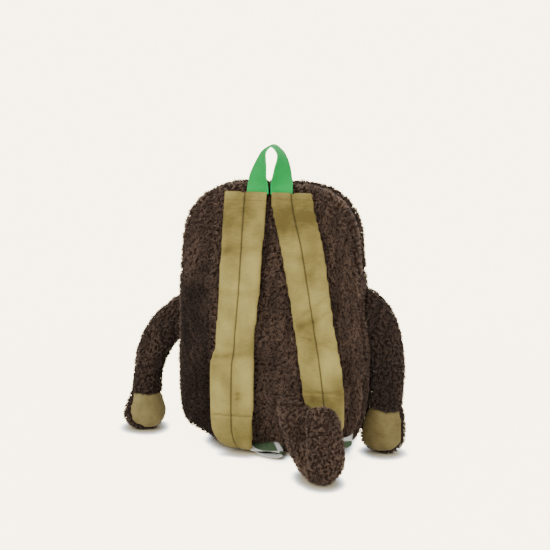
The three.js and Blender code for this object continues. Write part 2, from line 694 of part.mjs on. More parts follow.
// A hand is the sleeve's plush back and a velour palm, sewn together round its edge.
function arm(side) {
  const { away, reach, forward, wrist, palmFacing } = limbs[side];
  const rows = handStations[side].map((s) => ({
    centre: vec(
      away * (widthAtBelly / 2 + reach) + s.side * handWidth,
      -forward - s.ahead * handWidth,
      s.up * wrist,
    ),
    across: vec(1, 0, 0),
    width: s.width * handWidth,
    thickness: s.thick * handThickness,
  }));
  const hand = limb(rows, handSteps);
  const level = vec(...palmFacing).dot(rows[2].centre) + palmStep;
  const back = hand.trimByPlane(palmFacing.map((v) => -v), seamGap / 2 - level);
  const palm = hand.trimByPlane(palmFacing, level + seamGap / 2);
  add(`arm_${side}`, sleeve(side).add(back).subtract(bagKeepOut).subtract(sliderKeepOut), brownPlush);
  add(`palm_${side}`, palm.subtract(sleeve(side, restGap)).subtract(bagKeepOut), khakiVelour);
}

function tailShape(grown = 0) {
  const rows = tailStations.map((s) => ({
    centre: vec(tailRoot + s.sweep * tailSweep, -seam - s.reach * tailReach, s.up * tailHeight),
    across: vec(...s.across),
    width: s.width * tailWidth + 2 * grown,
    thickness: s.thick * tailWidth + 2 * grown,
  }));
  return limb(rows, tailSteps);
}

// The face on the front panel: a patch with two lobes over the eyes, a padded muzzle and two domed eyes

// An ellipsoid on the front panel, less all that lies under it.
function padded(x, z, width, height, depth, under) {
  const pad = new THREE.SphereGeometry(0.5, 18, 10).scale(width, 2 * depth, height);
  return solidOf(pad.translate(x, surfaceDepth(1, x, z), z)).subtract(bagVolume(under));
}

// The patch's outline as curves, each a start, two handles and an end: shares of half its width, across from
// its middle and up from the eyes.
const faceOutline = [
  [[0, -1.24], [0.8, -1.24], [1.02, -0.7], [0.9, -0.3]],
  [[0.9, -0.3], [1.25, 0.2], [0.5, 0.82], [0, 0.24]],
  [[0, 0.24], [-0.5, 0.82], [-1.25, 0.2], [-0.9, -0.3]],
  [[-0.9, -0.3], [-1.02, -0.7], [-0.8, -1.24], [0, -1.24]],
];

function face() {
  const half = facePatchWidth / 2;
  const place = ([x, up]) => [x * half, faceHeight + up * half];
  const shape = new THREE.Shape();
  shape.moveTo(...place(faceOutline[0][0]));
  for (const [, ...curve] of faceOutline) shape.bezierCurveTo(...curve.flatMap(place));
  const through = new THREE.ExtrudeGeometry(shape, { depth: far, bevelEnabled: false, curveSegments: 8 });
  through.rotateX(Math.PI / 2).translate(0, far, 0);
  const patch = bagVolume(facePatchThickness).subtract(bagKeepOut).intersect(solidOf(through));
  add("face_patch", patch, khakiVelour);

  const over = facePatchThickness + restGap;
  const muzzleMiddle = faceHeight - facePatchWidth * 0.34;
  add("muzzle", padded(0, muzzleMiddle, muzzleWidth, muzzleHeight, muzzleDepth, over), khakiVelour);
  for (const [name, sign] of [["eye_left", -1], ["eye_right", 1]]) {
    const eye = padded((sign * eyeSpacing) / 2, faceHeight, eyeDiameter, eyeDiameter, eyeDome, over);
    add(name, eye, blackEye);
  }
}

bagPanels();
zip();
const tailKeepOut = tailShape(restGap);
const sewnIn = bagKeepOut.add(grabHandle(restGap));
add("strap_left", strap("left").subtract(sewnIn), khakiVelour);
add("strap_right", strap("right").subtract(sewnIn).subtract(tailKeepOut), khakiVelour);
for (const side of ["left", "right"]) {
  const held = bagKeepOut.add(strap(side, restGap)).add(tailKeepOut);
  add(`lower_tape_${side}`, largestPart(lowerTape(side).subtract(held)), leafTape);
}
add("grab_handle", grabHandle().subtract(bagKeepOut), greenWebbing);
arm("left");
arm("right");
add("tail", tailShape().subtract(bagKeepOut), brownPlush);
face();

export default backpack;
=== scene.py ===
import math

import bpy
import numpy as np
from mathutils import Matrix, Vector, noise
from mathutils.bvhtree import BVHTree
from mathutils.kdtree import KDTree


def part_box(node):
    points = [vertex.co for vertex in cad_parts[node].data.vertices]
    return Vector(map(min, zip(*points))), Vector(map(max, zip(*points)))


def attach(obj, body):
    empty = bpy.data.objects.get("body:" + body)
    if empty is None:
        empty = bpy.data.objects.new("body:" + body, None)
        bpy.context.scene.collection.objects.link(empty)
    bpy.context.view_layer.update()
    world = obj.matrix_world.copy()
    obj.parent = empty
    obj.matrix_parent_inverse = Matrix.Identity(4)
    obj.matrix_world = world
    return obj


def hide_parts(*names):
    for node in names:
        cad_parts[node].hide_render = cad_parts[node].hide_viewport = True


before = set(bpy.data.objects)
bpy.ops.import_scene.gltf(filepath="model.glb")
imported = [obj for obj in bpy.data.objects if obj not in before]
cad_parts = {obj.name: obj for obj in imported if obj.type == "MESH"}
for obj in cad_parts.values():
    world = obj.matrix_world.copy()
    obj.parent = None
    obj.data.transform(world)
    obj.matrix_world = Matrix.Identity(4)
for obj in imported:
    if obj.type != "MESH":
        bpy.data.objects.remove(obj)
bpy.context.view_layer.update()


# The studio: a pale floor that fades into a backdrop of the same colour, so that only the soft shadow
# under the bag shows: partly the shadow of the lights, and close to where the bag touches the floor a
# painted shadow that dims the floor's glow. Two wide soft lights and an even sky light it; the camera
# looks a little down from the right of the straps.

def srgb(red, green, blue):
    """A colour read as screen values, as the light it stands for."""
    shares = (v / 255 for v in (red, green, blue))
    return (*(v / 12.92 if v <= 0.04045 else ((v + 0.055) / 1.055) ** 2.4 for v in shares), 1)


def new_material(name):
    """A bare material, and a way to add linked nodes to it."""
    material = bpy.data.materials.new(name)
    material.use_nodes = True
    return material, node_tools(material.node_tree)


def node_tools(tree):
    if tree.bl_idname == "ShaderNodeTree" and "Principled BSDF" in tree.nodes:
        tree.nodes.clear()

    def add(kind, values=None, **settings):
        made = tree.nodes.new("ShaderNode" + kind)
        for key, value in settings.items():
            setattr(made, key, value)
        for key, value in (values or {}).items():
            if isinstance(value, bpy.types.NodeSocket):
                tree.links.new(value, made.inputs[key])
            else:
                made.inputs[key].default_value = value
        return made

    return add


def math_node(add, operation, *values):
    return add("Math", dict(enumerate(values)), operation=operation).outputs[0]


def noise_node(add, place, scale, detail):
    return add("TexNoise", {"Vector": place, "Scale": scale, "Detail": detail}).outputs["Fac"]


def blend(add, share, first, second):
    return add("Mix", {0: share, 6: first, 7: second}, data_type="RGBA").outputs[2]


def finish_surface(add, shader):
    add("OutputMaterial", {"Surface": shader.outputs[0]})


backdrop_glow = (7.4, 6.5, 4.6, 1)
floor_lit = (5.6, 4.95, 3.5, 1)
floor_reach = 3.0
floor_gap = 0.0004  # below the bag
floor_glow = 0.85  # share of the floor's brightness that no soft shadow takes away
painted_shadow_reach = 0.015  # of the painted shadow close to where something touches the floor
painted_shadow_depth = 6.5
painted_shadow_tint = (4.4, 5.4, 7.0, 1)  # the floor's tint in that painted shadow, before it is dimmed
floor_clear = (0.32, 0.75)  # from the bag's middle: where the floor starts and ends turning to backdrop

bpy.ops.object.select_all(action="DESELECT")
bpy.ops.mesh.primitive_circle_add(
    vertices=64, radius=floor_reach, fill_type="NGON", location=(0, 0, -floor_gap))
studio_floor = bpy.context.object
studio_floor.name = "studio_floor"
bpy.ops.object.transform_apply(location=True)
material, add = new_material("studio_paper")
place = add("TexCoord")
far_out = add("VectorMath", {0: place.outputs["Object"]}, operation="LENGTH")
fade = add("MapRange", {
    "Value": far_out.outputs["Value"], "From Min": floor_clear[0], "From Max": floor_clear[1]})
lit = add("BsdfDiffuse", {"Color": floor_lit})
# Painted shadow: ambient occlusion dims the floor's glow close to where something touches it.
near = add("AmbientOcclusion", {"Distance": painted_shadow_reach}, samples=12)
painted_shadow = math_node(add, "POWER", near.outputs["AO"], painted_shadow_depth)
tinted = blend(add, painted_shadow, painted_shadow_tint, backdrop_glow)
dimmed = add("VectorMath", {0: tinted, "Scale": painted_shadow}, operation="SCALE")
glow = add("Emission", {"Color": dimmed.outputs[0], "Strength": 1})
share = math_node(add, "MULTIPLY_ADD", fade.outputs["Result"], 1 - floor_glow, floor_glow)
pictured = add("MixShader", {0: share, 1: lit.outputs[0], 2: glow.outputs[0]})
paper = add("BsdfDiffuse", {"Color": (0.86, 0.85, 0.83, 1)})
seen = add("LightPath")
both = add("MixShader", {0: seen.outputs["Is Camera Ray"], 1: paper.outputs[0], 2: pictured.outputs[0]})
finish_surface(add, both)
studio_floor.data.materials.append(material)

world = bpy.data.worlds.new("studio")
world.use_nodes = True
bpy.context.scene.world = world
world.node_tree.nodes.clear()
add = node_tools(world.node_tree)
sky = add("Background", {"Color": (1, 0.99, 0.97, 1), "Strength": 0.75})
backdrop = add("Background", {"Color": backdrop_glow, "Strength": 1})
seen = add("LightPath")
mixed = add("MixShader", {0: seen.outputs["Is Camera Ray"], 1: sky.outputs[0], 2: backdrop.outputs[0]})
add("OutputWorld", {"Surface": mixed.outputs[0]})

bag_middle = Vector((0, 0, 0.15))
for name, place, size, watts in [
    ("key_light", (-0.9, -1.5, 1.7), 1.3, 26),
    ("fill_light", (1.5, -0.9, 1.1), 1.4, 11),
    ("back_light", (0.3, 1.6, 1.6), 1.4, 14),
]:
    bpy.ops.object.light_add(type="AREA", location=place)
    light = bpy.context.object
    light.name = name
    light.data.size = size
    light.data.energy = watts
    light.rotation_euler = (bag_middle - Vector(place)).to_track_quat("-Z", "Y").to_euler()

camera_place = Vector((0.2274, -1.0618, 0.454))
camera_aim = Vector((0.007, -0.025, 0.211))
bpy.ops.object.camera_add(location=camera_place)
camera = bpy.context.object
camera.rotation_euler = (camera_aim - camera_place).to_track_quat("-Z", "Y").to_euler()
camera.data.sensor_width = 36
camera.data.lens = 61.5
bpy.context.scene.camera = camera


# The bag's plush: sherpa fleece, a knitted backing with curled tufts. A back panel and a front panel are
# sewn to a band round the sides and base, and two strips run over the top beside the zip. The stuffed
# shapes are swelled by a cloth simulation, and the tufts are grown on them.

def only(piece):
    bpy.ops.object.select_all(action="DESELECT")
    piece.select_set(True)
    bpy.context.view_layer.objects.active = piece


def joined(pieces):
    """All the pieces in one object, the first."""
    only(pieces[0])
    for piece in pieces[1:]:
        piece.select_set(True)
    bpy.ops.object.join()
    return pieces[0]


def modified(piece, kind, **settings):
    """Adds a modifier and applies it at once."""
    only(piece)
    bpy.ops.object.modifier_add(type=kind)
    modifier = piece.modifiers[-1]
    for key, value in settings.items():
        setattr(modifier, key, value)
    bpy.ops.object.modifier_apply(modifier=modifier.name)


def soft_copy(node, name, voxel, smooth=4):
    """A closed copy of a CAD solid, its facets rounded, in even quads of one voxel."""
    piece = bpy.data.objects.new(name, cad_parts[node].data.copy())
    bpy.context.scene.collection.objects.link(piece)
    piece.data.materials.clear()
    only(piece)
    bpy.ops.object.mode_set(mode="EDIT")
    bpy.ops.mesh.select_all(action="SELECT")
    bpy.ops.mesh.remove_doubles(threshold=0.00002)
    bpy.ops.object.mode_set(mode="OBJECT")
    modified(piece, "REMESH", mode="VOXEL", voxel_size=voxel)
    modified(piece, "SMOOTH", factor=0.5, iterations=smooth)
    bpy.ops.object.shade_smooth()
    return piece


def coordinates(piece):
    flat = np.empty(len(piece.data.vertices) * 3, np.float32)
    piece.data.vertices.foreach_get("co", flat)
    return flat.reshape(-1, 3)


ground_gap = 0.0002  # between the lowest cloth and the floor


def move_to(piece, places):
    piece.data.vertices.foreach_set("co", places.astype(np.float32).ravel())
    piece.data.update()


def swelled(piece, pressure, most, held=None, stiff=12):
    """Fills a piece as stuffing does, by a cloth simulation whose points move at most so far. The points
    that held() picks are sewn and stay."""
    start = coordinates(piece)
    only(piece)
    bpy.ops.object.modifier_add(type="CLOTH")
    modifier = piece.modifiers[-1]
    settings = modifier.settings
    settings.quality = 4
    settings.tension_stiffness = stiff
    settings.compression_stiffness = stiff
    settings.bending_stiffness = 0.3
    settings.use_pressure = True
    settings.uniform_pressure_force = pressure
    settings.effector_weights.gravity = 0
    if held is not None:
        sewn = piece.vertex_groups.new(name="sewn")
        sewn.add([int(i) for i in np.flatnonzero(held(start))], 1, "REPLACE")
        settings.vertex_group_mass = "sewn"
    for step in range(1, 21):
        bpy.context.scene.frame_set(step)
    bpy.ops.object.modifier_apply(modifier=modifier.name)
    move = coordinates(piece) - start
    length = np.linalg.norm(move, axis=1, keepdims=True) + 1e-9
    grown = start + move * np.minimum(1, most / length)
    grown[:, 2] = np.maximum(grown[:, 2], ground_gap)
    move_to(piece, grown)
    bpy.context.scene.frame_set(1)
    piece.vertex_groups.clear()


def scattered(piece, grows, apart, seed):
    """Points at least so far apart on the part of a skin where pile grows, and the skin's normals there."""
    mesh = piece.data
    mesh.calc_loop_triangles()
    corners = np.empty(len(mesh.loop_triangles) * 3, np.int32)
    mesh.loop_triangles.foreach_get("vertices", corners)
    corners = corners.reshape(-1, 3)
    places = coordinates(piece).astype(float)
    normals = np.empty(len(mesh.vertices) * 3, np.float32)
    mesh.vertices.foreach_get("normal", normals)
    normals = normals.reshape(-1, 3)
    a, b, c = (places[corners[:, k]] for k in range(3))
    cross = np.cross(b - a, c - a)
    double = np.linalg.norm(cross, axis=1) + 1e-15
    area = double / 2 * grows((a + b + c) / 3, cross / double[:, None])
    rng = np.random.default_rng(seed)
    count = int(3.2 * area.sum() / apart ** 2)
    pick = rng.choice(len(area), count, p=area / area.sum())
    u, v = rng.random((2, count))
    over = u + v > 1
    u[over], v[over] = 1 - u[over], 1 - v[over]
    shares = np.stack([1 - u - v, u, v], 1)
    at = np.einsum("nk,nkc->nc", shares, places[corners[pick]])
    facing = np.einsum("nk,nkc->nc", shares, normals[corners[pick]])
    facing /= np.linalg.norm(facing, axis=1, keepdims=True) + 1e-9
    kept = thinned(at, apart)
    return at[kept], facing[kept], rng


def tree_of(points):
    tree = KDTree(len(points))
    for i, point in enumerate(points):
        tree.insert(point, i)
    tree.balance()
    return tree


def thinned(points, apart):
    """Indices of points, first come first kept, of which no two are closer than apart."""
    tree = tree_of(points)
    alive = np.ones(len(points), bool)
    for i, point in enumerate(points):
        if alive[i]:
            for _, j, _ in tree.find_range(point, apart):
                if j > i:
                    alive[j] = False
    return np.flatnonzero(alive)


def skin_of(nodes):
    """The surfaces of CAD nodes, to find what stands in a tuft's way."""
    places, faces = [], []
    for name in nodes:
        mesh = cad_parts[name].data
        start = len(places)
        places += [v.co.copy() for v in mesh.vertices]
        faces += [[start + i for i in p.vertices] for p in mesh.polygons]
    return BVHTree.FromPolygons(places, faces)


def unit(vectors):
    return vectors / (np.linalg.norm(vectors, axis=1, keepdims=True) + 1e-9)


clump_spacing = 0.0021
ridge_size = np.array([0.006, 0.012, 0.05])  # the pile stands in ridges that run down the bag
foot_depth = 0.0008  # of a tuft's foot in the knitted backing
clearance = 0.001  # between a tuft's tip and a neighbour that stands in its way
shortest = 0.3  # share of a tuft that a neighbour leaves; a shorter one isn't grown
backing_pile = (0.3, 0.5, 0.5, 0.5)  # the pile attribute on the knitted backing, which puts it in the painted shade between the tufts


def grown_tufts(name, piece, grows, nap, apart, length, width, seed, beside=(), rise=0.4, gather=0.5):
    """Curled tufts on a skin, as one mesh. They lean along the nap and gather in clumps, stand taller on
    the ridges of the pile, and are shorter where a neighbour is in their way. The attribute pile holds, for
    each point, its share of the way to the tip, a number of its own tuft, one of its clump, and how far up
    a ridge it stands."""
    root, normal, rng = scattered(piece, grows, apart, seed)
    count = len(root)
    centres = thinned(root, clump_spacing)
    tree = tree_of(root[centres])
    home = np.array([tree.find(point)[1] for point in root])
    middle, out = root[centres][home], normal[centres][home]
    ridge = np.array([noise.noise(Vector(point / ridge_size)) for point in root[centres]])
    ridge = np.clip(0.5 + 1.2 * ridge, 0, 1)[home][:, None]

    def spread(low, high, per_clump=False):
        if per_clump:
            return rng.uniform(low, high, len(centres))[home][:, None]
        return rng.uniform(low, high, count)[:, None]

    wander = rng.normal(size=(len(centres), 3))[home]
    lean = nap(middle, out) + wander * 0.75
    lean = unit(lean - out * np.sum(lean * out, 1, keepdims=True))
    tall = length * spread(0.75, 1.15, True) * (0.78 + 0.35 * ridge)
    clump_tip = middle + out * tall * rise + lean * tall * 0.75
    own_tip = root + normal * tall * rise * spread(0.7, 1.3) + lean * tall * spread(0.4, 0.9)
    pull = gather * spread(0.5, 1.2)
    tip = own_tip * (1 - pull) + clump_tip * pull + rng.normal(size=(count, 3)) * length * 0.07
    foot = root - normal * foot_depth
    reach = tip - foot
    curl = np.cross(unit(reach), normal) * length * spread(-0.2, 0.2)
    bend = foot + reach * 0.45 + normal * length * spread(0.06, 0.2) + curl
    if beside:
        way = skin_of(beside)
        kept = np.ones(count)
        for i in range(count):
            aim = Vector(tip[i] - root[i])
            hit = way.ray_cast(Vector(root[i]), aim.normalized(), aim.length + clearance)
            if hit[0] is not None:
                kept[i] = max(hit[3] - clearance, 0) / aim.length
        stays = kept > shortest
        shrink = kept[:, None]
        tip = root + (tip - root) * shrink
        bend = root + (bend - root) * shrink
        foot, bend, tip, home, ridge = foot[stays], bend[stays], tip[stays], home[stays], ridge[stays]
        count = int(stays.sum())

    way_up = unit(tip - foot)
    side = unit(np.cross(way_up, rng.normal(size=(count, 3))))
    other = np.cross(way_up, side)
    broad = width * spread(0.75, 1.25)[:count] / 2
    spots = np.empty((count, 5, 3))
    spots[:, 0] = foot
    for k in range(3):
        turn = 2 * math.pi * k / 3
        spots[:, 1 + k] = bend + (side * math.cos(turn) + other * math.sin(turn)) * broad
    spots[:, 4] = tip
    spots[:, :, 2] = np.maximum(spots[:, :, 2], ground_gap)
    pattern = np.array([[0, 2, 1], [0, 3, 2], [0, 1, 3], [1, 2, 4], [2, 3, 4], [3, 1, 4]])
    faces = (pattern[None] + 5 * np.arange(count)[:, None, None]).reshape(-1, 3)
    mesh = bpy.data.meshes.new(name)
    mesh.vertices.add(count * 5)
    mesh.vertices.foreach_set("co", spots.astype(np.float32).ravel())
    mesh.loops.add(faces.size)
    mesh.loops.foreach_set("vertex_index", faces.astype(np.int32).ravel())
    mesh.polygons.add(len(faces))
    mesh.polygons.foreach_set("loop_start", np.arange(0, faces.size, 3, dtype=np.int32))
    mesh.polygons.foreach_set("use_smooth", np.ones(len(faces), bool))
    mesh.update(calc_edges=True)
    pile = np.ones((count, 5, 4), np.float32)
    pile[:, :, 0] = [0, 0.6, 0.6, 0.6, 1]
    pile[:, :, 1] = rng.random(count)[:, None]
    pile[:, :, 2] = rng.random(len(centres))[home][:, None]
    pile[:, :, 3] = ridge
    mesh.attributes.new("pile", "FLOAT_COLOR", "POINT").data.foreach_set("color", pile.ravel())
    tufts = bpy.data.objects.new(name, mesh)
    bpy.context.scene.collection.objects.link(tufts)
    return tufts


def with_tufts(piece, tufts):
    """Joins tufts to the backing that they grow on."""
    backing = piece.data.attributes.new("pile", "FLOAT_COLOR", "POINT")
    backing.data.foreach_set("color", np.tile(np.float32(backing_pile), len(piece.data.vertices)))
    joined([piece, tufts])


# The dark at the tufts' feet and on the backing between them is painted shade; towards the tips it lightens.
plush_gap_shade = srgb(38, 24, 14)
plush_low = srgb(82, 58, 41)
plush_high = srgb(152, 128, 111)


def sherpa_material(name, tone=1.0, shaded_corner=False):
    """Brown sherpa: painted shade makes it dark between the tufts and lighter towards their tips, each clump a
    little different; painted shade also darkens the furrows between the ridges of the pile, and tone darkens
    the whole copy. On the back panel the pile is brushed the other way at the lower left, and painted shade
    darkens it there; a painted gradient of light makes that panel lighter towards its right."""
    material, add = new_material(name)
    pile = add("Attribute", attribute_name="pile")
    parts = add("SeparateColor", {"Color": pile.outputs["Color"]})
    along, own, clump = (parts.outputs[k] for k in ("Red", "Green", "Blue"))
    ridge = pile.outputs["Alpha"]
    place = add("TexCoord").outputs["Object"]
    patches = noise_node(add, place, 22, 2)
    # Painted shade: dark at the feet of the tufts and on the backing, lighter towards their tips.
    ramp = add("ValToRGB", {"Fac": along})
    ramp.color_ramp.elements[0].color = plush_gap_shade
    ramp.color_ramp.elements[0].position = 0.1
    ramp.color_ramp.elements[1].color = plush_high
    ramp.color_ramp.elements[1].position = 1
    between = ramp.color_ramp.elements.new(0.55)
    between.color = plush_low
    varied = math_node(add, "MULTIPLY_ADD", own, 0.35, 0.6)
    varied = math_node(add, "MULTIPLY_ADD", clump, 0.3, varied)
    patchy = add("MapRange", {
        "Value": patches, "From Min": 0.35, "From Max": 0.65, "To Min": 0.8, "To Max": 1.15})
    value = math_node(add, "MULTIPLY", varied, patchy.outputs[0])
    # Painted shade in the furrows between the ridges of the pile, lighter on their crests; tone darkens the
    # whole copy.
    crest = add("MapRange", {
        "Value": ridge, "From Min": 0.1, "From Max": 0.9, "To Min": 0.66 * tone, "To Max": 1.26 * tone})
    value = math_node(add, "MULTIPLY", value, crest.outputs[0])
    if shaded_corner:
        # Painted shade at the lower left, where the pile is brushed the other way.
        axes = add("SeparateXYZ", {"Vector": place})
        ragged = noise_node(add, place, 90, 1)
        edge = math_node(add, "MULTIPLY_ADD", ragged, 0.03, axes.outputs["Z"])
        low = add("MapRange", {"Value": edge, "From Min": 0.221, "From Max": 0.206})
        left = add("MapRange", {"Value": axes.outputs["X"], "From Min": -0.055, "From Max": -0.068})
        corner = math_node(add, "MULTIPLY", low.outputs[0], left.outputs[0])
        darker = math_node(add, "MULTIPLY_ADD", corner, -0.6, 1)
        value = math_node(add, "MULTIPLY", value, darker)
        # Painted light: the panel lighter towards its right side, darker towards its left.
        lit = add("MapRange", {
            "Value": axes.outputs["X"], "From Min": -0.1, "From Max": 0.1, "To Min": 0.92, "To Max": 1.14})
        value = math_node(add, "MULTIPLY", value, lit.outputs[0])
    colour = add("VectorMath", {0: ramp.outputs["Color"], "Scale": value}, operation="SCALE")
    threads = noise_node(add, place, 2600, 2)
    bump = add("Bump", {"Strength": 0.35, "Distance": 0.0004, "Height": threads})
    cloth = add("BsdfPrincipled", {
        "Base Color": colour.outputs["Vector"], "Roughness": 0.85, "Sheen Weight": 0.35,
        "Sheen Roughness": 0.4, "Sheen Tint": (0.75, 0.62, 0.54, 1), "Specular IOR Level": 0.15,
        "Normal": bump.outputs["Normal"],
    })
    finish_surface(add, cloth)
    return material


bag_axis = np.array([0, 0, 0.139])
seam_depth = 0.036
sewn_margin = 0.004
seam_share_at_top = 0.736  # the bag is thinner towards its top, and its seams follow


def seam_at(height):
    share = np.clip(height / 0.309, 0, 1)
    eased = np.clip((share - 0.25) / 0.8, 0, 1)
    eased = eased * eased * (3 - 2 * eased)
    return seam_depth * (1 - (1 - seam_share_at_top) * eased)


def outside(centre, facing):
    """Faces that look away from the bag's inside; the sewn edges between two panels grow no pile."""
    looks_out = np.sum((centre - bag_axis) * facing, 1) > 0.2 * np.linalg.norm(centre - bag_axis, axis=1)
    at_seam = np.abs(np.abs(centre[:, 1]) - seam_at(centre[:, 2])) < 0.0015
    return looks_out & ~(at_seam & (np.abs(facing[:, 1]) > 0.85))


def beside_seam(places):
    return np.abs(np.abs(places[:, 1]) - seam_at(places[:, 2])) < sewn_margin


def bag_nap(places, facing):
    """The pile hangs down, more so towards the sides, and is brushed up at the lower left."""
    low = 1 / (1 + np.exp((places[:, 2] - 0.206) / 0.002))
    low_left = low / (1 + np.exp((places[:, 0] + 0.058) / 0.003))
    combed = 0.25 + 0.95 / (1 + np.exp((0.06 - np.abs(places[:, 0])) / 0.006))
    lift = 3 * low_left - combed
    return np.stack([0.2 * np.sign(places[:, 0]), np.zeros(len(places)), lift], 1)


def strip_nap(places, facing):
    return np.stack([0.3 * facing[:, 0], -0.4 * np.sign(places[:, 1]), 0.4 * facing[:, 2]], 1)


limb_nodes = ("arm_left", "arm_right", "palm_left", "palm_right", "tail")
hung_nodes = ("strap_left", "strap_right", "grab_handle", "lower_tape_left", "lower_tape_right")
zip_nodes = ("zip", "zip_slider")
face_nodes = ("face_patch", "muzzle")
sherpa = sherpa_material("brown_sherpa")
back_sherpa = sherpa_material("brown_sherpa_brushed_painted_shade", tone=0.92, shaded_corner=True)
beside_bag = limb_nodes + hung_nodes + zip_nodes
for node, nap, rise, apart, beside, seed in [
    ("back_panel", bag_nap, 0.54, 0.00115, beside_bag, 11),
    ("side_gusset", bag_nap, 0.54, 0.00115, beside_bag, 12),
    ("front_panel", bag_nap, 0.54, 0.0015, limb_nodes + face_nodes, 13),
    ("zip_strip_back", strip_nap, 0.57, 0.0008, hung_nodes + zip_nodes, 14),
    ("zip_strip_front", strip_nap, 0.57, 0.0009, zip_nodes + ("grab_handle",), 15),
]:
    panel = soft_copy(node, node + "_plush", 0.004)
    swelled(panel, 3, 0.0025, held=beside_seam)
    pile = grown_tufts(node + "_pile", panel, outside, nap, apart, 0.0062, 0.00092, seed, beside, rise)
    pieces = [panel]
    if node == "back_panel":
        # Longer curls stand over the pile on the panel that shows.
        curls = grown_tufts(node + "_curls", panel, outside, nap, apart, 0.0074, 0.00078, 41, beside, rise)
        pieces.append(curls)
    with_tufts(panel, pile)
    for piece in pieces:
        piece.data.materials.clear()
        piece.data.materials.append(back_sherpa if node == "back_panel" else sherpa)
        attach(piece, "root")
        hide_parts(node)


# The lining: one closed bag of thin cloth against the panels' inner faces, sewn in with their seams. Its
# dark colour is painted shade: it shows only as the dark between two panels.

lining_depth = 0.0068  # below the bag's outer faces
lining_voxel = 0.006
walls = []
for node in ("back_panel", "front_panel", "side_gusset", "zip_strip_back", "zip_strip_front"):
    wall = bpy.data.objects.new(node + "_wall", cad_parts[node].data.copy())
    bpy.context.scene.collection.objects.link(wall)
    walls.append(wall)
lining = joined(walls)
lining.name = "lining_cloth"
lining.data.name = "lining_cloth"
lining.data.materials.clear()
only(lining)
bpy.ops.object.mode_set(mode="EDIT")
bpy.ops.mesh.select_all(action="SELECT")
bpy.ops.mesh.convex_hull(delete_unused=True, use_existing_faces=False)
bpy.ops.object.mode_set(mode="OBJECT")
modified(lining, "REMESH", mode="VOXEL", voxel_size=lining_voxel)
modified(lining, "SMOOTH", factor=0.5, iterations=4)
modified(lining, "DISPLACE", strength=-lining_depth, mid_level=0)
bpy.ops.object.shade_smooth()
material, add = new_material("lining_shade_weave")
place = add("TexCoord").outputs["Object"]
threads = noise_node(add, place, 1800, 2)
uneven = noise_node(add, place, 30, 3)
# Painted shade: the lining's two dark colours stand for the shade between the panels.
colour = blend(add, uneven, srgb(34, 24, 18), srgb(52, 38, 29))
bump = add("Bump", {"Strength": 0.3, "Distance": 0.0002, "Height": threads})
cloth = add("BsdfPrincipled", {"Base Color": colour, "Roughness": 0.8, "Normal": bump.outputs[0]})
finish_surface(add, cloth)
lining.data.materials.append(material)
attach(lining, "root")
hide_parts("side_gusset")


# The zip over the bag's top: a dark woven tape in the slot between the strips, a coil of nylon teeth on
# it, and a small metal slider with its pull at the left end.

def smooth_path(points, steps):
    """A smooth curve through points, read at even steps of its length."""
    points = np.array(points, float)
    ends = np.vstack([2 * points[0] - points[1], points, 2 * points[-1] - points[-2]])
    fine = []
    for i in range(1, len(ends) - 2):
        p0, p1, p2, p3 = ends[i - 1:i + 3]
        for t in np.linspace(0, 1, 16, endpoint=False):
            fine.append(0.5 * (2 * p1 + (p2 - p0) * t + (2 * p0 - 5 * p1 + 4 * p2 - p3) * t ** 2
                               + (3 * p1 - p0 - 3 * p2 + p3) * t ** 3))
    fine.append(points[-1])
    fine = np.array(fine)
    gone = np.concatenate([[0], np.cumsum(np.linalg.norm(np.diff(fine[:, :3], axis=0), axis=1))])
    at = np.linspace(0, gone[-1], steps + 1)
    return np.stack([np.interp(at, gone, fine[:, k]) for k in range(fine.shape[1])], 1), gone[-1]


def ribbon(name, stations, width, thickness, steps, across=6):
    """A flat tape along stations of a middle and the direction across it, with its own UV map: u across it
    and v along it."""
    path, length = smooth_path(stations, steps)
    only_nothing()
    bpy.ops.mesh.primitive_grid_add(x_subdivisions=across, y_subdivisions=steps, size=1)
    piece = bpy.context.object
    piece.name = name
    flat = coordinates(piece)
    u, v = flat[:, 0] * 2, np.rint((flat[:, 1] + 0.5) * steps).astype(int)
    middle, over = path[:, :3], unit(path[:, 3:6])
    move_to(piece, middle[v] + over[v] * (u * width / 2)[:, None])
    modified(piece, "SOLIDIFY", thickness=thickness, offset=0)
    modified(piece, "BEVEL", width=thickness * 0.3, segments=2)
    only(piece)
    bpy.ops.object.shade_smooth_by_angle(angle=math.radians(40))
    return piece, length


def only_nothing():
    bpy.ops.object.select_all(action="DESELECT")
    bpy.context.view_layer.objects.active = None


def repeated(name, pattern, places, ahead, over):
    """Copies of one small modelled shape, joined in one mesh, each turned to its own directions: the
    shape's x lies over, its y ahead and its z along their normal."""
    mesh = pattern.data
    flat = coordinates(pattern).astype(float)
    faces = [tuple(p.vertices) for p in mesh.polygons]
    places, ahead, over = (np.array(v, float) for v in (places, ahead, over))
    ahead = unit(ahead)
    out = unit(np.cross(over, ahead))
    over = np.cross(ahead, out)
    spots = (places[:, None] + flat[None, :, :1] * over[:, None] + flat[None, :, 1:2] * ahead[:, None]
             + flat[None, :, 2:] * out[:, None]).reshape(-1, 3)
    all_faces = [tuple(i + k * len(flat) for i in face) for k in range(len(places)) for face in faces]
    copies = bpy.data.meshes.new(name)
    copies.from_pydata([tuple(p) for p in spots], [], all_faces)
    copies.validate()
    copies.polygons.foreach_set("use_smooth", np.ones(len(copies.polygons), bool))
    piece = bpy.data.objects.new(name, copies)
    bpy.context.scene.collection.objects.link(piece)
    bpy.data.objects.remove(pattern)
    return piece


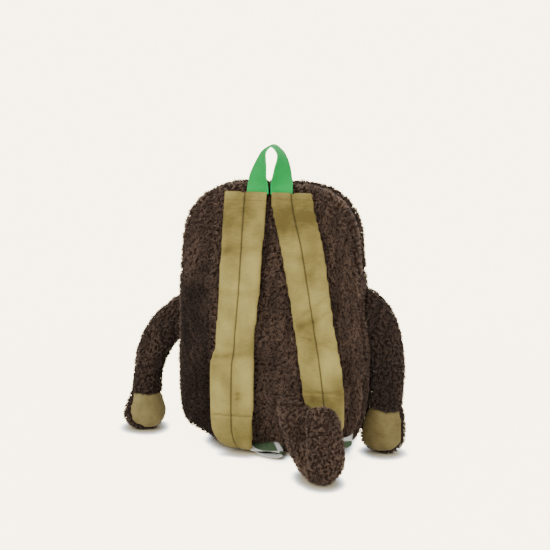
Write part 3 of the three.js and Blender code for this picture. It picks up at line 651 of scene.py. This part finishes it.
def woven_group():
    """A plain weave read from a UV map: threads along and across it, as a height and a shade."""
    group = bpy.data.node_groups.new("woven", "ShaderNodeTree")
    for label, kind, way in [
        ("UV", "NodeSocketVector", "INPUT"), ("Across", "NodeSocketFloat", "INPUT"),
        ("Along", "NodeSocketFloat", "INPUT"), ("Height", "NodeSocketFloat", "OUTPUT"),
        ("Shade", "NodeSocketFloat", "OUTPUT"),
    ]:
        group.interface.new_socket(label, in_out=way, socket_type=kind)
    add = node_tools(group)
    given = group.nodes.new("NodeGroupInput")
    result = group.nodes.new("NodeGroupOutput")
    axes = add("SeparateXYZ", {"Vector": given.outputs["UV"]})
    waves = []
    for axis, threads in (("X", "Across"), ("Y", "Along")):
        turns = math_node(add, "MULTIPLY", axes.outputs[axis], given.outputs[threads])
        waves.append(math_node(add, "SINE", math_node(add, "MULTIPLY", turns, 2 * math.pi)))
    height = math_node(add, "MULTIPLY_ADD", math_node(add, "MULTIPLY", *waves), 0.5, 0.5)
    shade = add("MapRange", {"Value": height, "To Min": 0.82, "To Max": 1.06})
    group.links.new(height, result.inputs["Height"])
    group.links.new(shade.outputs["Result"], result.inputs["Shade"])
    return group


weave = woven_group()


def woven(add, uv, across, along):
    made = add("Group", {}, node_tree=weave)
    made.inputs["Across"].default_value = across
    made.inputs["Along"].default_value = along
    made.id_data.links.new(uv, made.inputs["UV"])
    return made


zip_mesh = coordinates(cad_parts["zip"]).astype(float)
edge_rows = zip_mesh[np.abs(zip_mesh[:, 1] - zip_mesh[:, 1].max()) < 0.0003]
around = np.arctan2(edge_rows[:, 0] - bag_axis[0], edge_rows[:, 2] - bag_axis[2])
order = np.argsort(around)
edge_rows, around = edge_rows[order], around[order]
groups = np.split(np.arange(len(around)), np.flatnonzero(np.diff(around) > 0.02) + 1)
zip_path = [edge_rows[g].mean(0) for g in groups]
stations = [(p[0], 0, p[2], 0, 1, 0) for p in zip_path]
tape, zip_length = ribbon("zip_tape_cloth", stations, 0.0155, 0.0012, 160)
material, add = new_material("black_zip_tape")
uv = add("UVMap").outputs["UV"]
threads = woven(add, uv, 16, 420)
base = add("VectorMath", {0: srgb(34, 28, 26)[:3], "Scale": threads.outputs["Shade"]}, operation="SCALE")
bump = add("Bump", {"Strength": 0.5, "Distance": 0.0003, "Height": threads.outputs["Height"]})
cloth = add("BsdfPrincipled", {"Base Color": base.outputs[0], "Roughness": 0.8, "Normal": bump.outputs[0]})
finish_surface(add, cloth)
tape.data.materials.append(material)
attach(tape, "root")
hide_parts("zip")

tooth_pitch = 0.0016
path, _ = smooth_path(stations, int(zip_length / tooth_pitch))
only_nothing()
bpy.ops.mesh.primitive_cube_add(size=1)
tooth = bpy.context.object
tooth.scale = (0.0046, 0.00085, 0.0011)
bpy.ops.object.transform_apply(scale=True)
modified(tooth, "BEVEL", width=0.0003, segments=1)
ahead = np.gradient(path[:, :3], axis=0)
slant = np.where(np.arange(len(path)) % 2, 0.12, -0.12)[:, None]
over = np.tile([0, 1, 0], (len(path), 1)) + unit(ahead) * slant
out = unit(np.cross(np.tile([0.0, 1, 0], (len(path), 1)), ahead))
outwards = np.sign(np.sum(out * (path[:, :3] - bag_axis), 1, keepdims=True))
coil = repeated("zip_coil", tooth, path[:, :3] + out * outwards * 0.0011, ahead, over)
material, add = new_material("black_coil")
place = add("TexCoord").outputs["Object"]
uneven = noise_node(add, place, 900, 1)
shine = add("MapRange", {"Value": uneven, "To Min": 0.3, "To Max": 0.55})
plastic = add("BsdfPrincipled", {"Base Color": srgb(30, 25, 23), "Roughness": shine.outputs[0]})
finish_surface(add, plastic)
coil.data.materials.append(material)
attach(coil, "root")

low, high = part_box("zip_slider")
pull_thickness = 0.0016
parts = []
only_nothing()
bpy.ops.mesh.primitive_cube_add(size=1, location=((high.x - 0.0017), 0, high.z - 0.0055))
body = bpy.context.object
body.scale = (0.0034, 0.008, 0.011)
bpy.ops.object.transform_apply(location=True, scale=True)
bpy.ops.object.mode_set(mode="EDIT")
bpy.ops.mesh.select_all(action="SELECT")
bpy.ops.mesh.subdivide(number_cuts=3)
bpy.ops.object.mode_set(mode="OBJECT")
shape = coordinates(body)
rise = (shape[:, 2] - (high.z - 0.011)) / 0.011
shape[:, 1] *= 0.62 + 0.38 * np.clip(rise * 1.6, 0, 1)
move_to(body, shape)
modified(body, "BEVEL", width=0.0006, segments=2, limit_method="ANGLE")
parts.append(body)
bpy.ops.object.select_all(action="DESELECT")
bpy.ops.mesh.primitive_torus_add(
    major_radius=0.0026, minor_radius=0.0006, major_segments=24, minor_segments=8,
    location=(high.x - 0.0031, 0, high.z - 0.0058), rotation=(math.pi / 2, 0, 0))
bpy.ops.object.transform_apply(location=True, rotation=True)
parts.append(bpy.context.object)
bpy.ops.object.select_all(action="DESELECT")
bpy.ops.mesh.primitive_cylinder_add(
    vertices=32, radius=0.5, depth=pull_thickness, location=(low.x + 0.0009, 0, low.z + 0.0125),
    rotation=(0, math.pi / 2, 0))
plate = bpy.context.object
bpy.ops.object.transform_apply(location=False, rotation=True, scale=False)
plate.scale = (1, 0.005, 0.024)
bpy.ops.object.transform_apply(location=True, scale=True)
modified(plate, "BEVEL", width=0.0004, segments=2, limit_method="ANGLE")
parts.append(plate)
slider = joined(parts)
slider.name = "zip_slider_metal"
only(slider)
bpy.ops.object.shade_smooth_by_angle(angle=math.radians(35))
material, add = new_material("dark_metal")
place = add("TexCoord").outputs["Object"]
scuffs = noise_node(add, place, 700, 3)
rough = add("MapRange", {"Value": scuffs, "To Min": 0.28, "To Max": 0.5})
bump = add("Bump", {"Strength": 0.1, "Distance": 0.0002, "Height": scuffs})
metal = add("BsdfPrincipled", {
    "Base Color": srgb(128, 124, 118), "Metallic": 0.9, "Roughness": rough.outputs[0],
    "Normal": bump.outputs[0]})
finish_surface(add, metal)
slider.data.materials.append(material)
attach(slider, "root")
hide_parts("zip_slider")


# The shoulder straps: soft tubes of khaki velour over a thin pad, with one line of stitches down the
# middle that pulls both faces in. Their tops are sewn into the bag's upper seam, and their lower ends
# narrow towards the tapes.

def velour_group():
    """Short velour pile: light and dark patches where it was brushed, streaks and a fine grain, and an input
    that shifts it towards the dark colour, for painted shade.
    """
    group = bpy.data.node_groups.new("velour", "ShaderNodeTree")
    for label, kind, way in [
        ("Place", "NodeSocketVector", "INPUT"), ("Light", "NodeSocketColor", "INPUT"),
        ("Dark", "NodeSocketColor", "INPUT"), ("Darkened", "NodeSocketFloat", "INPUT"),
        ("Color", "NodeSocketColor", "OUTPUT"), ("Height", "NodeSocketFloat", "OUTPUT"),
    ]:
        group.interface.new_socket(label, in_out=way, socket_type=kind)
    add = node_tools(group)
    given = group.nodes.new("NodeGroupInput")
    result = group.nodes.new("NodeGroupOutput")
    spread = add("Mapping", {"Vector": given.outputs["Place"], "Scale": (38, 38, 30)})
    patches = add("TexNoise", {"Vector": spread.outputs[0], "Scale": 1, "Detail": 3, "Roughness": 0.45})
    grain = add("TexNoise", {"Vector": given.outputs["Place"], "Scale": 1500, "Detail": 2})
    # The fourth input adds painted shade, shifting the mix towards the dark colour.
    mix = math_node(add, "MULTIPLY_ADD", patches.outputs["Fac"], 1.3, given.outputs["Darkened"])
    mix = math_node(add, "MULTIPLY_ADD", grain.outputs["Fac"], 0.3, mix)
    flat = add("Mapping", {"Vector": given.outputs["Place"], "Scale": (150, 150, 800)})
    rubbed_and_shaded = add("TexNoise", {"Vector": flat.outputs[0], "Scale": 1, "Detail": 2, "Roughness": 0.6})
    mix = math_node(add, "MULTIPLY_ADD", rubbed_and_shaded.outputs["Fac"], 0.35, mix)
    share = add("MapRange", {"Value": mix, "From Min": 0.65, "From Max": 1.55})
    colour = blend(add, share.outputs[0], given.outputs["Light"], given.outputs["Dark"])
    group.links.new(colour, result.inputs["Color"])
    group.links.new(grain.outputs["Fac"], result.inputs["Height"])
    return group


velour = velour_group()
velour_light = srgb(196, 178, 102)
velour_dark = srgb(110, 95, 47)


def velour_material(name, light, dark, brushed=0.0, seamed=False):
    """Khaki velour. On a strap the UV map runs across and down it, and darkens the sewn line."""
    material, add = new_material(name)
    place = add("TexCoord").outputs["Object"]
    pile = add("Group", {}, node_tree=velour)
    pile.inputs["Light"].default_value = light
    pile.inputs["Dark"].default_value = dark
    # On the palms brushed is painted shade, shifting the velour towards its dark colour.
    pile.inputs["Darkened"].default_value = brushed
    material.node_tree.links.new(place, pile.inputs["Place"])
    colour = pile.outputs["Color"]
    if seamed:
        axes = add("SeparateXYZ", {"Vector": add("UVMap", {}, uv_map="lay").outputs["UV"]})
        # Painted shade: a dark line down the strap's middle, in the groove that its stitches pull in, and the
        # darker patches that each strap's table gives.
        off = math_node(add, "ABSOLUTE", math_node(add, "SUBTRACT", axes.outputs["X"], 0.5))
        groove_shade = add("MapRange", {"Value": off, "From Min": 0.008, "From Max": 0.03,
                                    "To Min": 0.42, "To Max": 1})
        painted_shade = add("Attribute", attribute_name="painted_shade")
        material.node_tree.links.new(painted_shade.outputs["Fac"], pile.inputs["Darkened"])
        colour = add("VectorMath", {0: colour, "Scale": groove_shade.outputs[0]}, operation="SCALE").outputs[0]
    bump = add("Bump", {"Strength": 0.3, "Distance": 0.0003, "Height": pile.outputs["Height"]})
    cloth = add("BsdfPrincipled", {
        "Base Color": colour, "Roughness": 0.9, "Sheen Weight": 0.25, "Sheen Roughness": 0.35,
        "Sheen Tint": (0.95, 0.87, 0.55, 1), "Specular IOR Level": 0.2, "Normal": bump.outputs[0]})
    finish_surface(add, cloth)
    return material


def levels_of(node, step=0.004):
    """The left and right edge and the foremost and rearmost depth of a CAD node, level by level."""
    low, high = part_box(node)
    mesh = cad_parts[node].data
    places = coordinates(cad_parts[node]).astype(float)
    edges = np.array([e.vertices[:] for e in mesh.edges])
    a, b = places[edges[:, 0]], places[edges[:, 1]]
    rows = []
    for z in np.arange(low.z + step / 2, high.z, step):
        cut = (a[:, 2] - z) * (b[:, 2] - z) < 0
        share = ((z - a[cut, 2]) / (b[cut, 2] - a[cut, 2]))[:, None]
        at = a[cut] + (b[cut] - a[cut]) * share
        rows.append((z, at[:, 0].min(), at[:, 0].max(), at[:, 1].min(), at[:, 1].max()))
    return np.array(rows)


def laid_out(places, rows):
    """Where each point of a strap is: across from -1 to 1, and up from 0 to 1."""
    left, right = (np.interp(places[:, 2], rows[:, 0], rows[:, k]) for k in (1, 2))
    across = (places[:, 0] - (left + right) / 2) / ((right - left) / 2)
    up = (places[:, 2] - rows[0, 0]) / (rows[-1, 0] - rows[0, 0])
    return across, up


def corners_of(piece):
    """The vertex at each face corner."""
    corner = np.empty(len(piece.data.loops), np.int32)
    piece.data.loops.foreach_get("vertex_index", corner)
    return corner


stitch_length = 0.0024
stitch_pitch = 0.0034


def stitches(name, places, over, thread=0.00032):
    """A line of short stitches along places, each a small rounded bar."""
    path, length = smooth_path(np.array(places), 400)
    path, _ = smooth_path(path[::4], max(int(length / stitch_pitch), 2))
    only_nothing()
    bpy.ops.mesh.primitive_uv_sphere_add(segments=6, ring_count=5, radius=1)
    bar = bpy.context.object
    bar.scale = (thread, stitch_length / 2, thread)
    bpy.ops.object.transform_apply(scale=True)
    ahead = np.gradient(path[:, :3], axis=0)
    return repeated(name, bar, path[:, :3], ahead, np.tile(over, (len(path), 1)))


def thread_material(name, colour):
    material, add = new_material(name)
    place = add("TexCoord").outputs["Object"]
    twist = noise_node(add, place, 3000, 1)
    tone = add("MapRange", {"Value": twist, "To Min": 0.75, "To Max": 1.2})
    base = add("VectorMath", {0: colour[:3], "Scale": tone.outputs[0]}, operation="SCALE")
    thread = add("BsdfPrincipled", {"Base Color": base.outputs[0], "Roughness": 0.7})
    finish_surface(add, thread)
    return material


# Creases of each strap: its height share, depth, how broad it is and how much it slants across.
creases = {
    "strap_left": [(0.97, 0.0006, 0.012, 0), (0.80, 0.0010, 0.014, 0.1), (0.635, 0.0010, 0.014, -0.1),
                   (0.43, 0.0012, 0.02, 0.05), (0.395, 0.0018, 0.012, 0.1), (0.162, 0.0016, 0.006, 0)],
    "strap_right": [(0.95, 0.0006, 0.012, 0), (0.8, 0.0008, 0.02, -0.1), (0.56, 0.0018, 0.01, 0.6),
                    (0.51, 0.0018, 0.01, 0.5), (0.43, 0.0016, 0.012, -0.3), (0.235, 0.0012, 0.006, 0.05)],
}
# Where painted shade darkens the velour of each strap, towards its top, along its creases and at its foot:
# across from -1 to 1, up from 0 to 1, half breadths of the patch both ways, and how dark it is.
strap_shade_patches = {
    "strap_left": [(-0.1, 0.92, 1.6, 0.07, 0.4), (-0.5, 0.84, 0.8, 0.04, 0.12), (0.3, 0.80, 1.0, 0.02, 0.14),
                   (-0.8, 0.79, 0.5, 0.015, 0.16), (-0.5, 0.635, 0.7, 0.015, 0.22), (-0.3, 0.7, 1.0, 0.04, 0.08),
                   (-0.5, 0.4, 0.5, 0.016, 0.26), (-0.3, 0.31, 0.25, 0.03, 0.22), (0.3, 0.256, 0.1, 0.006, 0.4),
                   (0.3, 0.236, 0.1, 0.006, 0.4), (-0.8, 0.36, 0.2, 0.05, 0.16), (0, 0.05, 1.6, 0.1, 0.32)],
    "strap_right": [(0, 0.94, 1.8, 0.07, 0.54), (-0.4, 0.86, 0.9, 0.05, 0.3), (0.4, 0.82, 0.7, 0.04, 0.25),
                    (-0.4, 0.775, 0.7, 0.03, 0.2), (0.4, 0.76, 0.6, 0.03, 0.18), (0.5, 0.68, 0.7, 0.03, 0.08),
                    (-0.7, 0.5, 0.4, 0.02, 0.2), (0, 0.55, 1.8, 0.2, 0.1), (-0.3, 0.2, 0.8, 0.05, 0.3)],
}
# Rows of stitches across each strap: how far up, and from where to where across.
cross_seams = {
    "strap_left": [(0.978, -0.9, 0.9), (0.162, -0.75, 0.93)],
    "strap_right": [(0.978, -0.9, 0.9), (0.235, -0.2, 0.93)],
}
strap_velour = velour_material("khaki_velour_strap", velour_light, velour_dark, seamed=True)
strap_thread = thread_material("khaki_thread", srgb(92, 76, 40))
for node in ("strap_left", "strap_right"):
    strap = soft_copy(node, node + "_velour", 0.003, smooth=3)
    rows = levels_of(node)

    def sewn_line(places):
        across, _ = laid_out(places, rows)
        return (np.abs(across) < 0.07) | (places[:, 2] > rows[-1, 0] - 0.006)

    swelled(strap, 2.5, 0.0015, held=sewn_line, stiff=18)
    modified(strap, "SUBSURF", levels=1, render_levels=1)
    places = coordinates(strap).astype(float)
    across, up = laid_out(places, rows)
    middle_depth = np.interp(places[:, 2], rows[:, 0], (rows[:, 3] + rows[:, 4]) / 2)
    front = np.clip((middle_depth - places[:, 1]) / 0.003, 0, 1)
    for height, depth, broad, slant in creases[node]:
        off = (up - height - slant * across * 0.1) / broad
        places[:, 1] += depth * front * np.exp(-off * off) * (1 + 0.4 * np.sin(9 * across + 40 * height))
    move_to(strap, places)
    strap.data.uv_layers.new(name="lay")
    lay = np.stack([0.5 + across / 2, up], 1)[corners_of(strap)]
    strap.data.uv_layers["lay"].data.foreach_set("uv", lay.astype(np.float32).ravel())
    # Painted shade on the strap, from the table of darker patches.
    dark = np.zeros(len(across))
    for x, z, wide, tall, amount in strap_shade_patches[node]:
        dark += amount * np.exp(-((across - x) / wide) ** 2 - ((up - z) / tall) ** 2)
    strap.data.attributes.new("painted_shade", "FLOAT", "POINT").data.foreach_set("value", dark.astype(np.float32))
    strap.data.materials.append(strap_velour)
    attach(strap, "root")
    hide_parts(node)

    surface = BVHTree.FromObject(strap, bpy.context.evaluated_depsgraph_get())

    def on_strap(x, up):
        """The place on the strap's front at a share across it and up it."""
        z = rows[0, 0] + up * (rows[-1, 0] - rows[0, 0])
        left, right, fore = (np.interp(z, rows[:, 0], rows[:, k]) for k in (1, 2, 3))
        middle = (left + right) / 2
        hit = surface.ray_cast(Vector((middle + x * (right - left) / 2, fore - 0.02, z)), Vector((0, 1, 0)))
        return None if hit[0] is None else (hit[0].x, hit[0].y - 0.0002, hit[0].z)

    line = [on_strap(0, up) for up in np.linspace(0.02, 0.985, 75)]
    line = [place for place in line if place]
    sewn = [stitches(node + "_stitches", line, (1, 0, 0))]
    for up, start, end in cross_seams[node]:
        line = [on_strap(x, up) for x in np.linspace(start, end, 24)]
        line = [place for place in line if place]
        sewn.append(stitches("cross_seam", line, (0, 0, 1), thread=0.00024))
    seam = joined(sewn)
    seam.data.materials.append(strap_thread)
    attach(seam, "root")


# The lower tapes: printed cotton tape, white with green leaves, from each strap's end to the bag's base.
# The left one is folded over itself, and the right one shows only its slanted end.

tape_width = 0.02
tape_thickness = 0.0011
half_base = 0.1025
tape_stations = {
    "left": [
        (-0.15, 0.54, 0.4, 0.05, 0.95, 0.3), (-0.06, 0.62, 0.46, 0.05, 0.92, 0.38),
        (0.1, 0.68, 0.54, 0, 0.92, 0.4), (0.185, 0.77, 0.48, -0.1, 0.95, 0.3),
        (0.22, 0.87, 0.28, -0.15, 1, 0.1), (0.166, 0.92, 0.09, 0, 1, 0), (0.05, 0.75, 0.055, 0.35, 1, 0),
        (-0.05, 0.35, 0.055, 0.7, 0.7, 0), (-0.09, 0.1, 0.055, 0.95, 0.3, 0),
    ],
    "right": [
        (0.71, 0.89, 0.9, 0.1, -0.35, 0.95), (0.84, 0.8, 0.96, 0.1, -0.4, 0.92),
        (0.945, 0.5, 1, 0.1, -0.45, 0.9), (0.99, 0, 1.02, 0.1, -0.4, 0.92),
    ],
}
# Leaves of the print: place across and along the tape, turn in degrees, length and breadth, all but the
# turn in tape widths.
leaves = {
    "left": [
        (0.58, 0.62, -26, 2.3, 1.0), (0.05, 1.9, 60, 0.6, 0.3), (0.75, 2.3, 10, 1.3, 0.5),
        (0.35, 3.4, -30, 1.2, 0.45), (0.8, 4.3, 20, 1.2, 0.45),
    ],
    "right": [(0.4, 1.2, -20, 1.9, 0.6), (0.25, 2.1, 10, 1.1, 0.42)],
}
material, add = new_material("leaf_print")
uv = add("UVMap", {}, uv_map="UVMap").outputs["UV"]
threads = woven(add, uv, 34, 110)
print_mask = add("Attribute", attribute_name="leaf")
mask = add("MapRange", {"Value": print_mask.outputs["Fac"], "From Min": 0.35, "From Max": 0.65})
vein = noise_node(add, add("TexCoord").outputs["Object"], 300, 2)
green = blend(add, vein, srgb(58, 80, 52), srgb(96, 122, 84))
base = blend(add, mask.outputs[0], srgb(248, 247, 241), green)
shaded = add("VectorMath", {0: base, "Scale": threads.outputs["Shade"]}, operation="SCALE")
bump = add("Bump", {"Strength": 0.4, "Distance": 0.0002, "Height": threads.outputs["Height"]})
cloth = add("BsdfPrincipled", {
    "Base Color": shaded.outputs[0], "Roughness": 0.75, "Normal": bump.outputs[0]})
finish_surface(add, cloth)
for side, table in tape_stations.items():
    stations = [(x * half_base, -seam_depth - out * tape_width, up * tape_width, *over)
                for x, out, up, *over in table]
    tape, length = ribbon(f"lower_tape_{side}_print", stations, tape_width, tape_thickness, 90, across=24)
    uvs = np.empty(len(tape.data.loops) * 2, np.float32)
    tape.data.uv_layers[0].data.foreach_get("uv", uvs)
    tape.data.uv_layers[0].name = "UVMap"
    uvs = uvs.reshape(-1, 2)
    point = np.zeros((len(tape.data.vertices), 2))
    point[corners_of(tape)] = uvs
    u, v = point[:, 0], point[:, 1] * length / tape_width
    cover = np.zeros(len(point))
    for across, along, turn, long, broad in leaves[side]:
        c, s = math.cos(math.radians(turn)), math.sin(math.radians(turn))
        run = ((u - across) * s + (v - along) * c) / (long / 2)
        off = np.abs(-(u - across) * c + (v - along) * s) / (broad / 2)
        inside = (1 - run * run) - off
        cover = np.maximum(cover, np.clip(0.5 + inside * 2.5, 0, 1) * (np.abs(run) < 1))
    leaf = tape.data.attributes.new("leaf", "FLOAT", "POINT")
    leaf.data.foreach_set("value", cover.astype(np.float32))
    tape.data.materials.append(material)
    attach(tape, "root")
    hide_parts(f"lower_tape_{side}")


# The grab handle: bright green webbing. Its two ends lie flat side by side, sewn in behind the straps'
# tops, and it twists a quarter turn each way, so that its top lies flat in the hand.

handle_width = 0.025
handle_thickness = 0.0015
handle_foot = 0.309
handle_middle = 0.0027
half_spacing = 0.01275
handle_rise = 0.052
handle_depth = -0.0310
handle_tucked_depth = -0.0405
# Stations round the loop: x in half spacings, height in rises, turn in degrees, and a share of the way
# back to the panel for the tucked ends.
handle_table = [
    (-1.09, -0.06, 180, 0.3), (-1.1, 0.02, 180, 0.2), (-1.12, 0.166, 165, 0), (-1.1, 0.35, 150, 0),
    (-0.94, 0.52, 138, 0), (-0.73, 0.73, 121, 0), (-0.5, 0.87, 109, 0), (0.22, 0.99, 94, 0),
    (0.84, 0.87, 86, 0), (1.07, 0.73, 76, 0), (1.1, 0.52, 56, 0), (1.08, 0.35, 42, 0), (1.04, 0.166, 20, 0),
    (1.06, 0.02, 2, 0.2), (1.06, -0.06, 0, 0.3),
]
stations = [
    (handle_middle + x * half_spacing, handle_depth + (handle_tucked_depth - handle_depth) * tuck,
     handle_foot + up * handle_rise, math.cos(math.radians(turn)), math.sin(math.radians(turn)), 0)
    for x, up, turn, tuck in handle_table
]
handle, length = ribbon("grab_handle_webbing", stations, handle_width, handle_thickness, 120, across=12)
material, add = new_material("green_webbing")
uv = add("UVMap", {}, uv_map="UVMap").outputs["UV"]
threads = woven(add, uv, 20, length / 0.0011)
axes = add("SeparateXYZ", {"Vector": uv})
off = math_node(add, "ABSOLUTE", math_node(add, "SUBTRACT", axes.outputs["X"], 0.5))
selvedge = add("MapRange", {"Value": off, "From Min": 0.44, "From Max": 0.47})
body = blend(add, selvedge.outputs[0], srgb(2, 186, 82), srgb(26, 200, 102))
shaded = add("VectorMath", {0: body, "Scale": threads.outputs["Shade"]}, operation="SCALE")
bump = add("Bump", {"Strength": 0.6, "Distance": 0.0004, "Height": threads.outputs["Height"]})
cloth = add("BsdfPrincipled", {
    "Base Color": shaded.outputs[0], "Roughness": 0.6, "Specular IOR Level": 0.3,
    "Normal": bump.outputs[0]})
finish_surface(add, cloth)
handle.data.materials.append(material)
handle.data.uv_layers[0].name = "UVMap"
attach(handle, "root")
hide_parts("grab_handle")


# The arms: stuffed sleeves of the same plush that hang from the bag's sides. Each hand is a plush back and
# a khaki velour palm, sewn together round its edge.

bag_skin = skin_of(["back_panel", "front_panel", "side_gusset"])


def clear_of_bag(centre, facing):
    """Faces of a limb that aren't pressed against the bag."""
    near = np.array([bag_skin.find_nearest(Vector(p), 0.003)[0] is not None for p in centre])
    return ~near


def hanging_nap(places, facing):
    return np.tile([0.0, 0, -0.7], (len(places), 1))


# The tone darkens each arm's copy of the sherpa, and the last number darkens its palm: painted shade on both,
# deeper on the right, where the arm and palm hang in shade.
for side, seed, tone, rubbed_and_shaded in (("left", 21, 0.62, 0.02), ("right", 22, 0.48, 0.3)):
    node = f"arm_{side}"
    arm = soft_copy(node, node + "_plush", 0.004)
    swelled(arm, 3, 0.003)
    beside = [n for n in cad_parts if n.startswith(("back", "front", "side", "palm_" + side))]
    pile = grown_tufts(node + "_pile", arm, clear_of_bag, hanging_nap, 0.001, 0.0062, 0.0009, seed, beside,
                       rise=0.5)
    with_tufts(arm, pile)
    arm.data.materials.clear()
    arm.data.materials.append(sherpa_material(f"brown_sherpa_arm_{side}", tone))
    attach(arm, "root")
    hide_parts(node)

    node = f"palm_{side}"
    palm = soft_copy(node, node + "_velour", 0.0025, smooth=3)
    swelled(palm, 3, 0.002)
    modified(palm, "SUBSURF", levels=1, render_levels=1)
    palm.data.materials.append(velour_material(
        f"khaki_velour_palm_{side}", srgb(164, 149, 98), srgb(104, 88, 50), brushed=rubbed_and_shaded))
    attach(palm, "root")
    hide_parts(node)


# The tail: a stuffed tube of the plush that comes down from the back panel, bends on the floor and turns
# up to a rounded, sewn end.

def tail_nap(places, facing):
    return np.stack([np.full(len(places), 0.2), np.full(len(places), -0.2), np.full(len(places), 0.35)], 1)


tail = soft_copy("tail", "tail_plush", 0.004)
swelled(tail, 3, 0.003)
beside_tail = ["strap_left", "strap_right", "lower_tape_left", "lower_tape_right", "back_panel"]
pile = grown_tufts("tail_pile", tail, clear_of_bag, tail_nap, 0.001, 0.0064, 0.0009, 31, beside_tail,
                   rise=0.5)
with_tufts(tail, pile)
tail.data.materials.clear()
tail.data.materials.append(sherpa)
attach(tail, "root")
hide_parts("tail")


# The face on the far side, which the photograph hides: a khaki velour patch with two lobes, a padded
# muzzle with a stitched mouth, and two black domed eyes.

face_velour = velour_material("khaki_velour_face", velour_light, velour_dark)
for node, voxel, inflate in (("face_patch", 0.002, 0), ("muzzle", 0.003, 0.003)):
    piece = soft_copy(node, node + "_velour", voxel, smooth=2)
    if inflate:
        swelled(piece, 3, inflate)
        modified(piece, "SUBSURF", levels=1, render_levels=1)
    piece.data.materials.append(face_velour)
    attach(piece, "root")
    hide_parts(node)
    surface = BVHTree.FromObject(piece, bpy.context.evaluated_depsgraph_get())
muzzle_low, muzzle_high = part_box("muzzle")
line = []
for share in np.linspace(-0.7, 0.7, 25):
    x = share * muzzle_high.x
    z = muzzle_low.z + 0.018 + 0.010 * share * share
    hit = surface.ray_cast(Vector((x, 0.2, z)), Vector((0, -1, 0)))
    if hit[0] is not None:
        line.append((x, hit[0].y + 0.0002, z))
mouth = stitches("mouth_stitches", line, (0, 0, 1), thread=0.0006)
mouth.data.materials.append(thread_material("brown_thread", srgb(48, 33, 24)))
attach(mouth, "root")

material, add = new_material("black_eye_gloss")
place = add("TexCoord").outputs["Object"]
dust = noise_node(add, place, 400, 2)
rough = add("MapRange", {"Value": dust, "To Min": 0.06, "To Max": 0.16})
gloss = add("BsdfPrincipled", {"Base Color": srgb(14, 12, 11), "Roughness": rough.outputs[0]})
finish_surface(add, gloss)
for side in ("left", "right"):
    low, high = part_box(f"eye_{side}")
    middle = (low + high) / 2
    only_nothing()
    bpy.ops.mesh.primitive_uv_sphere_add(segments=40, ring_count=24, radius=0.5)
    eye = bpy.context.object
    eye.name = f"eye_{side}_dome"
    eye.scale = (high.x - low.x, 2 * (high.y - low.y), high.z - low.z)
    eye.location = (middle.x, low.y, middle.z)
    bpy.ops.object.transform_apply(location=True, scale=True)
    only(eye)
    bpy.ops.object.mode_set(mode="EDIT")
    bpy.ops.mesh.select_all(action="SELECT")
    bpy.ops.mesh.bisect(plane_co=(0, low.y, 0), plane_no=(0, -1, 0), clear_outer=True, use_fill=True)
    bpy.ops.object.mode_set(mode="OBJECT")
    bpy.ops.object.shade_smooth_by_angle(angle=math.radians(40))
    eye.data.materials.append(material)
    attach(eye, "root")
    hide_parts(f"eye_{side}")
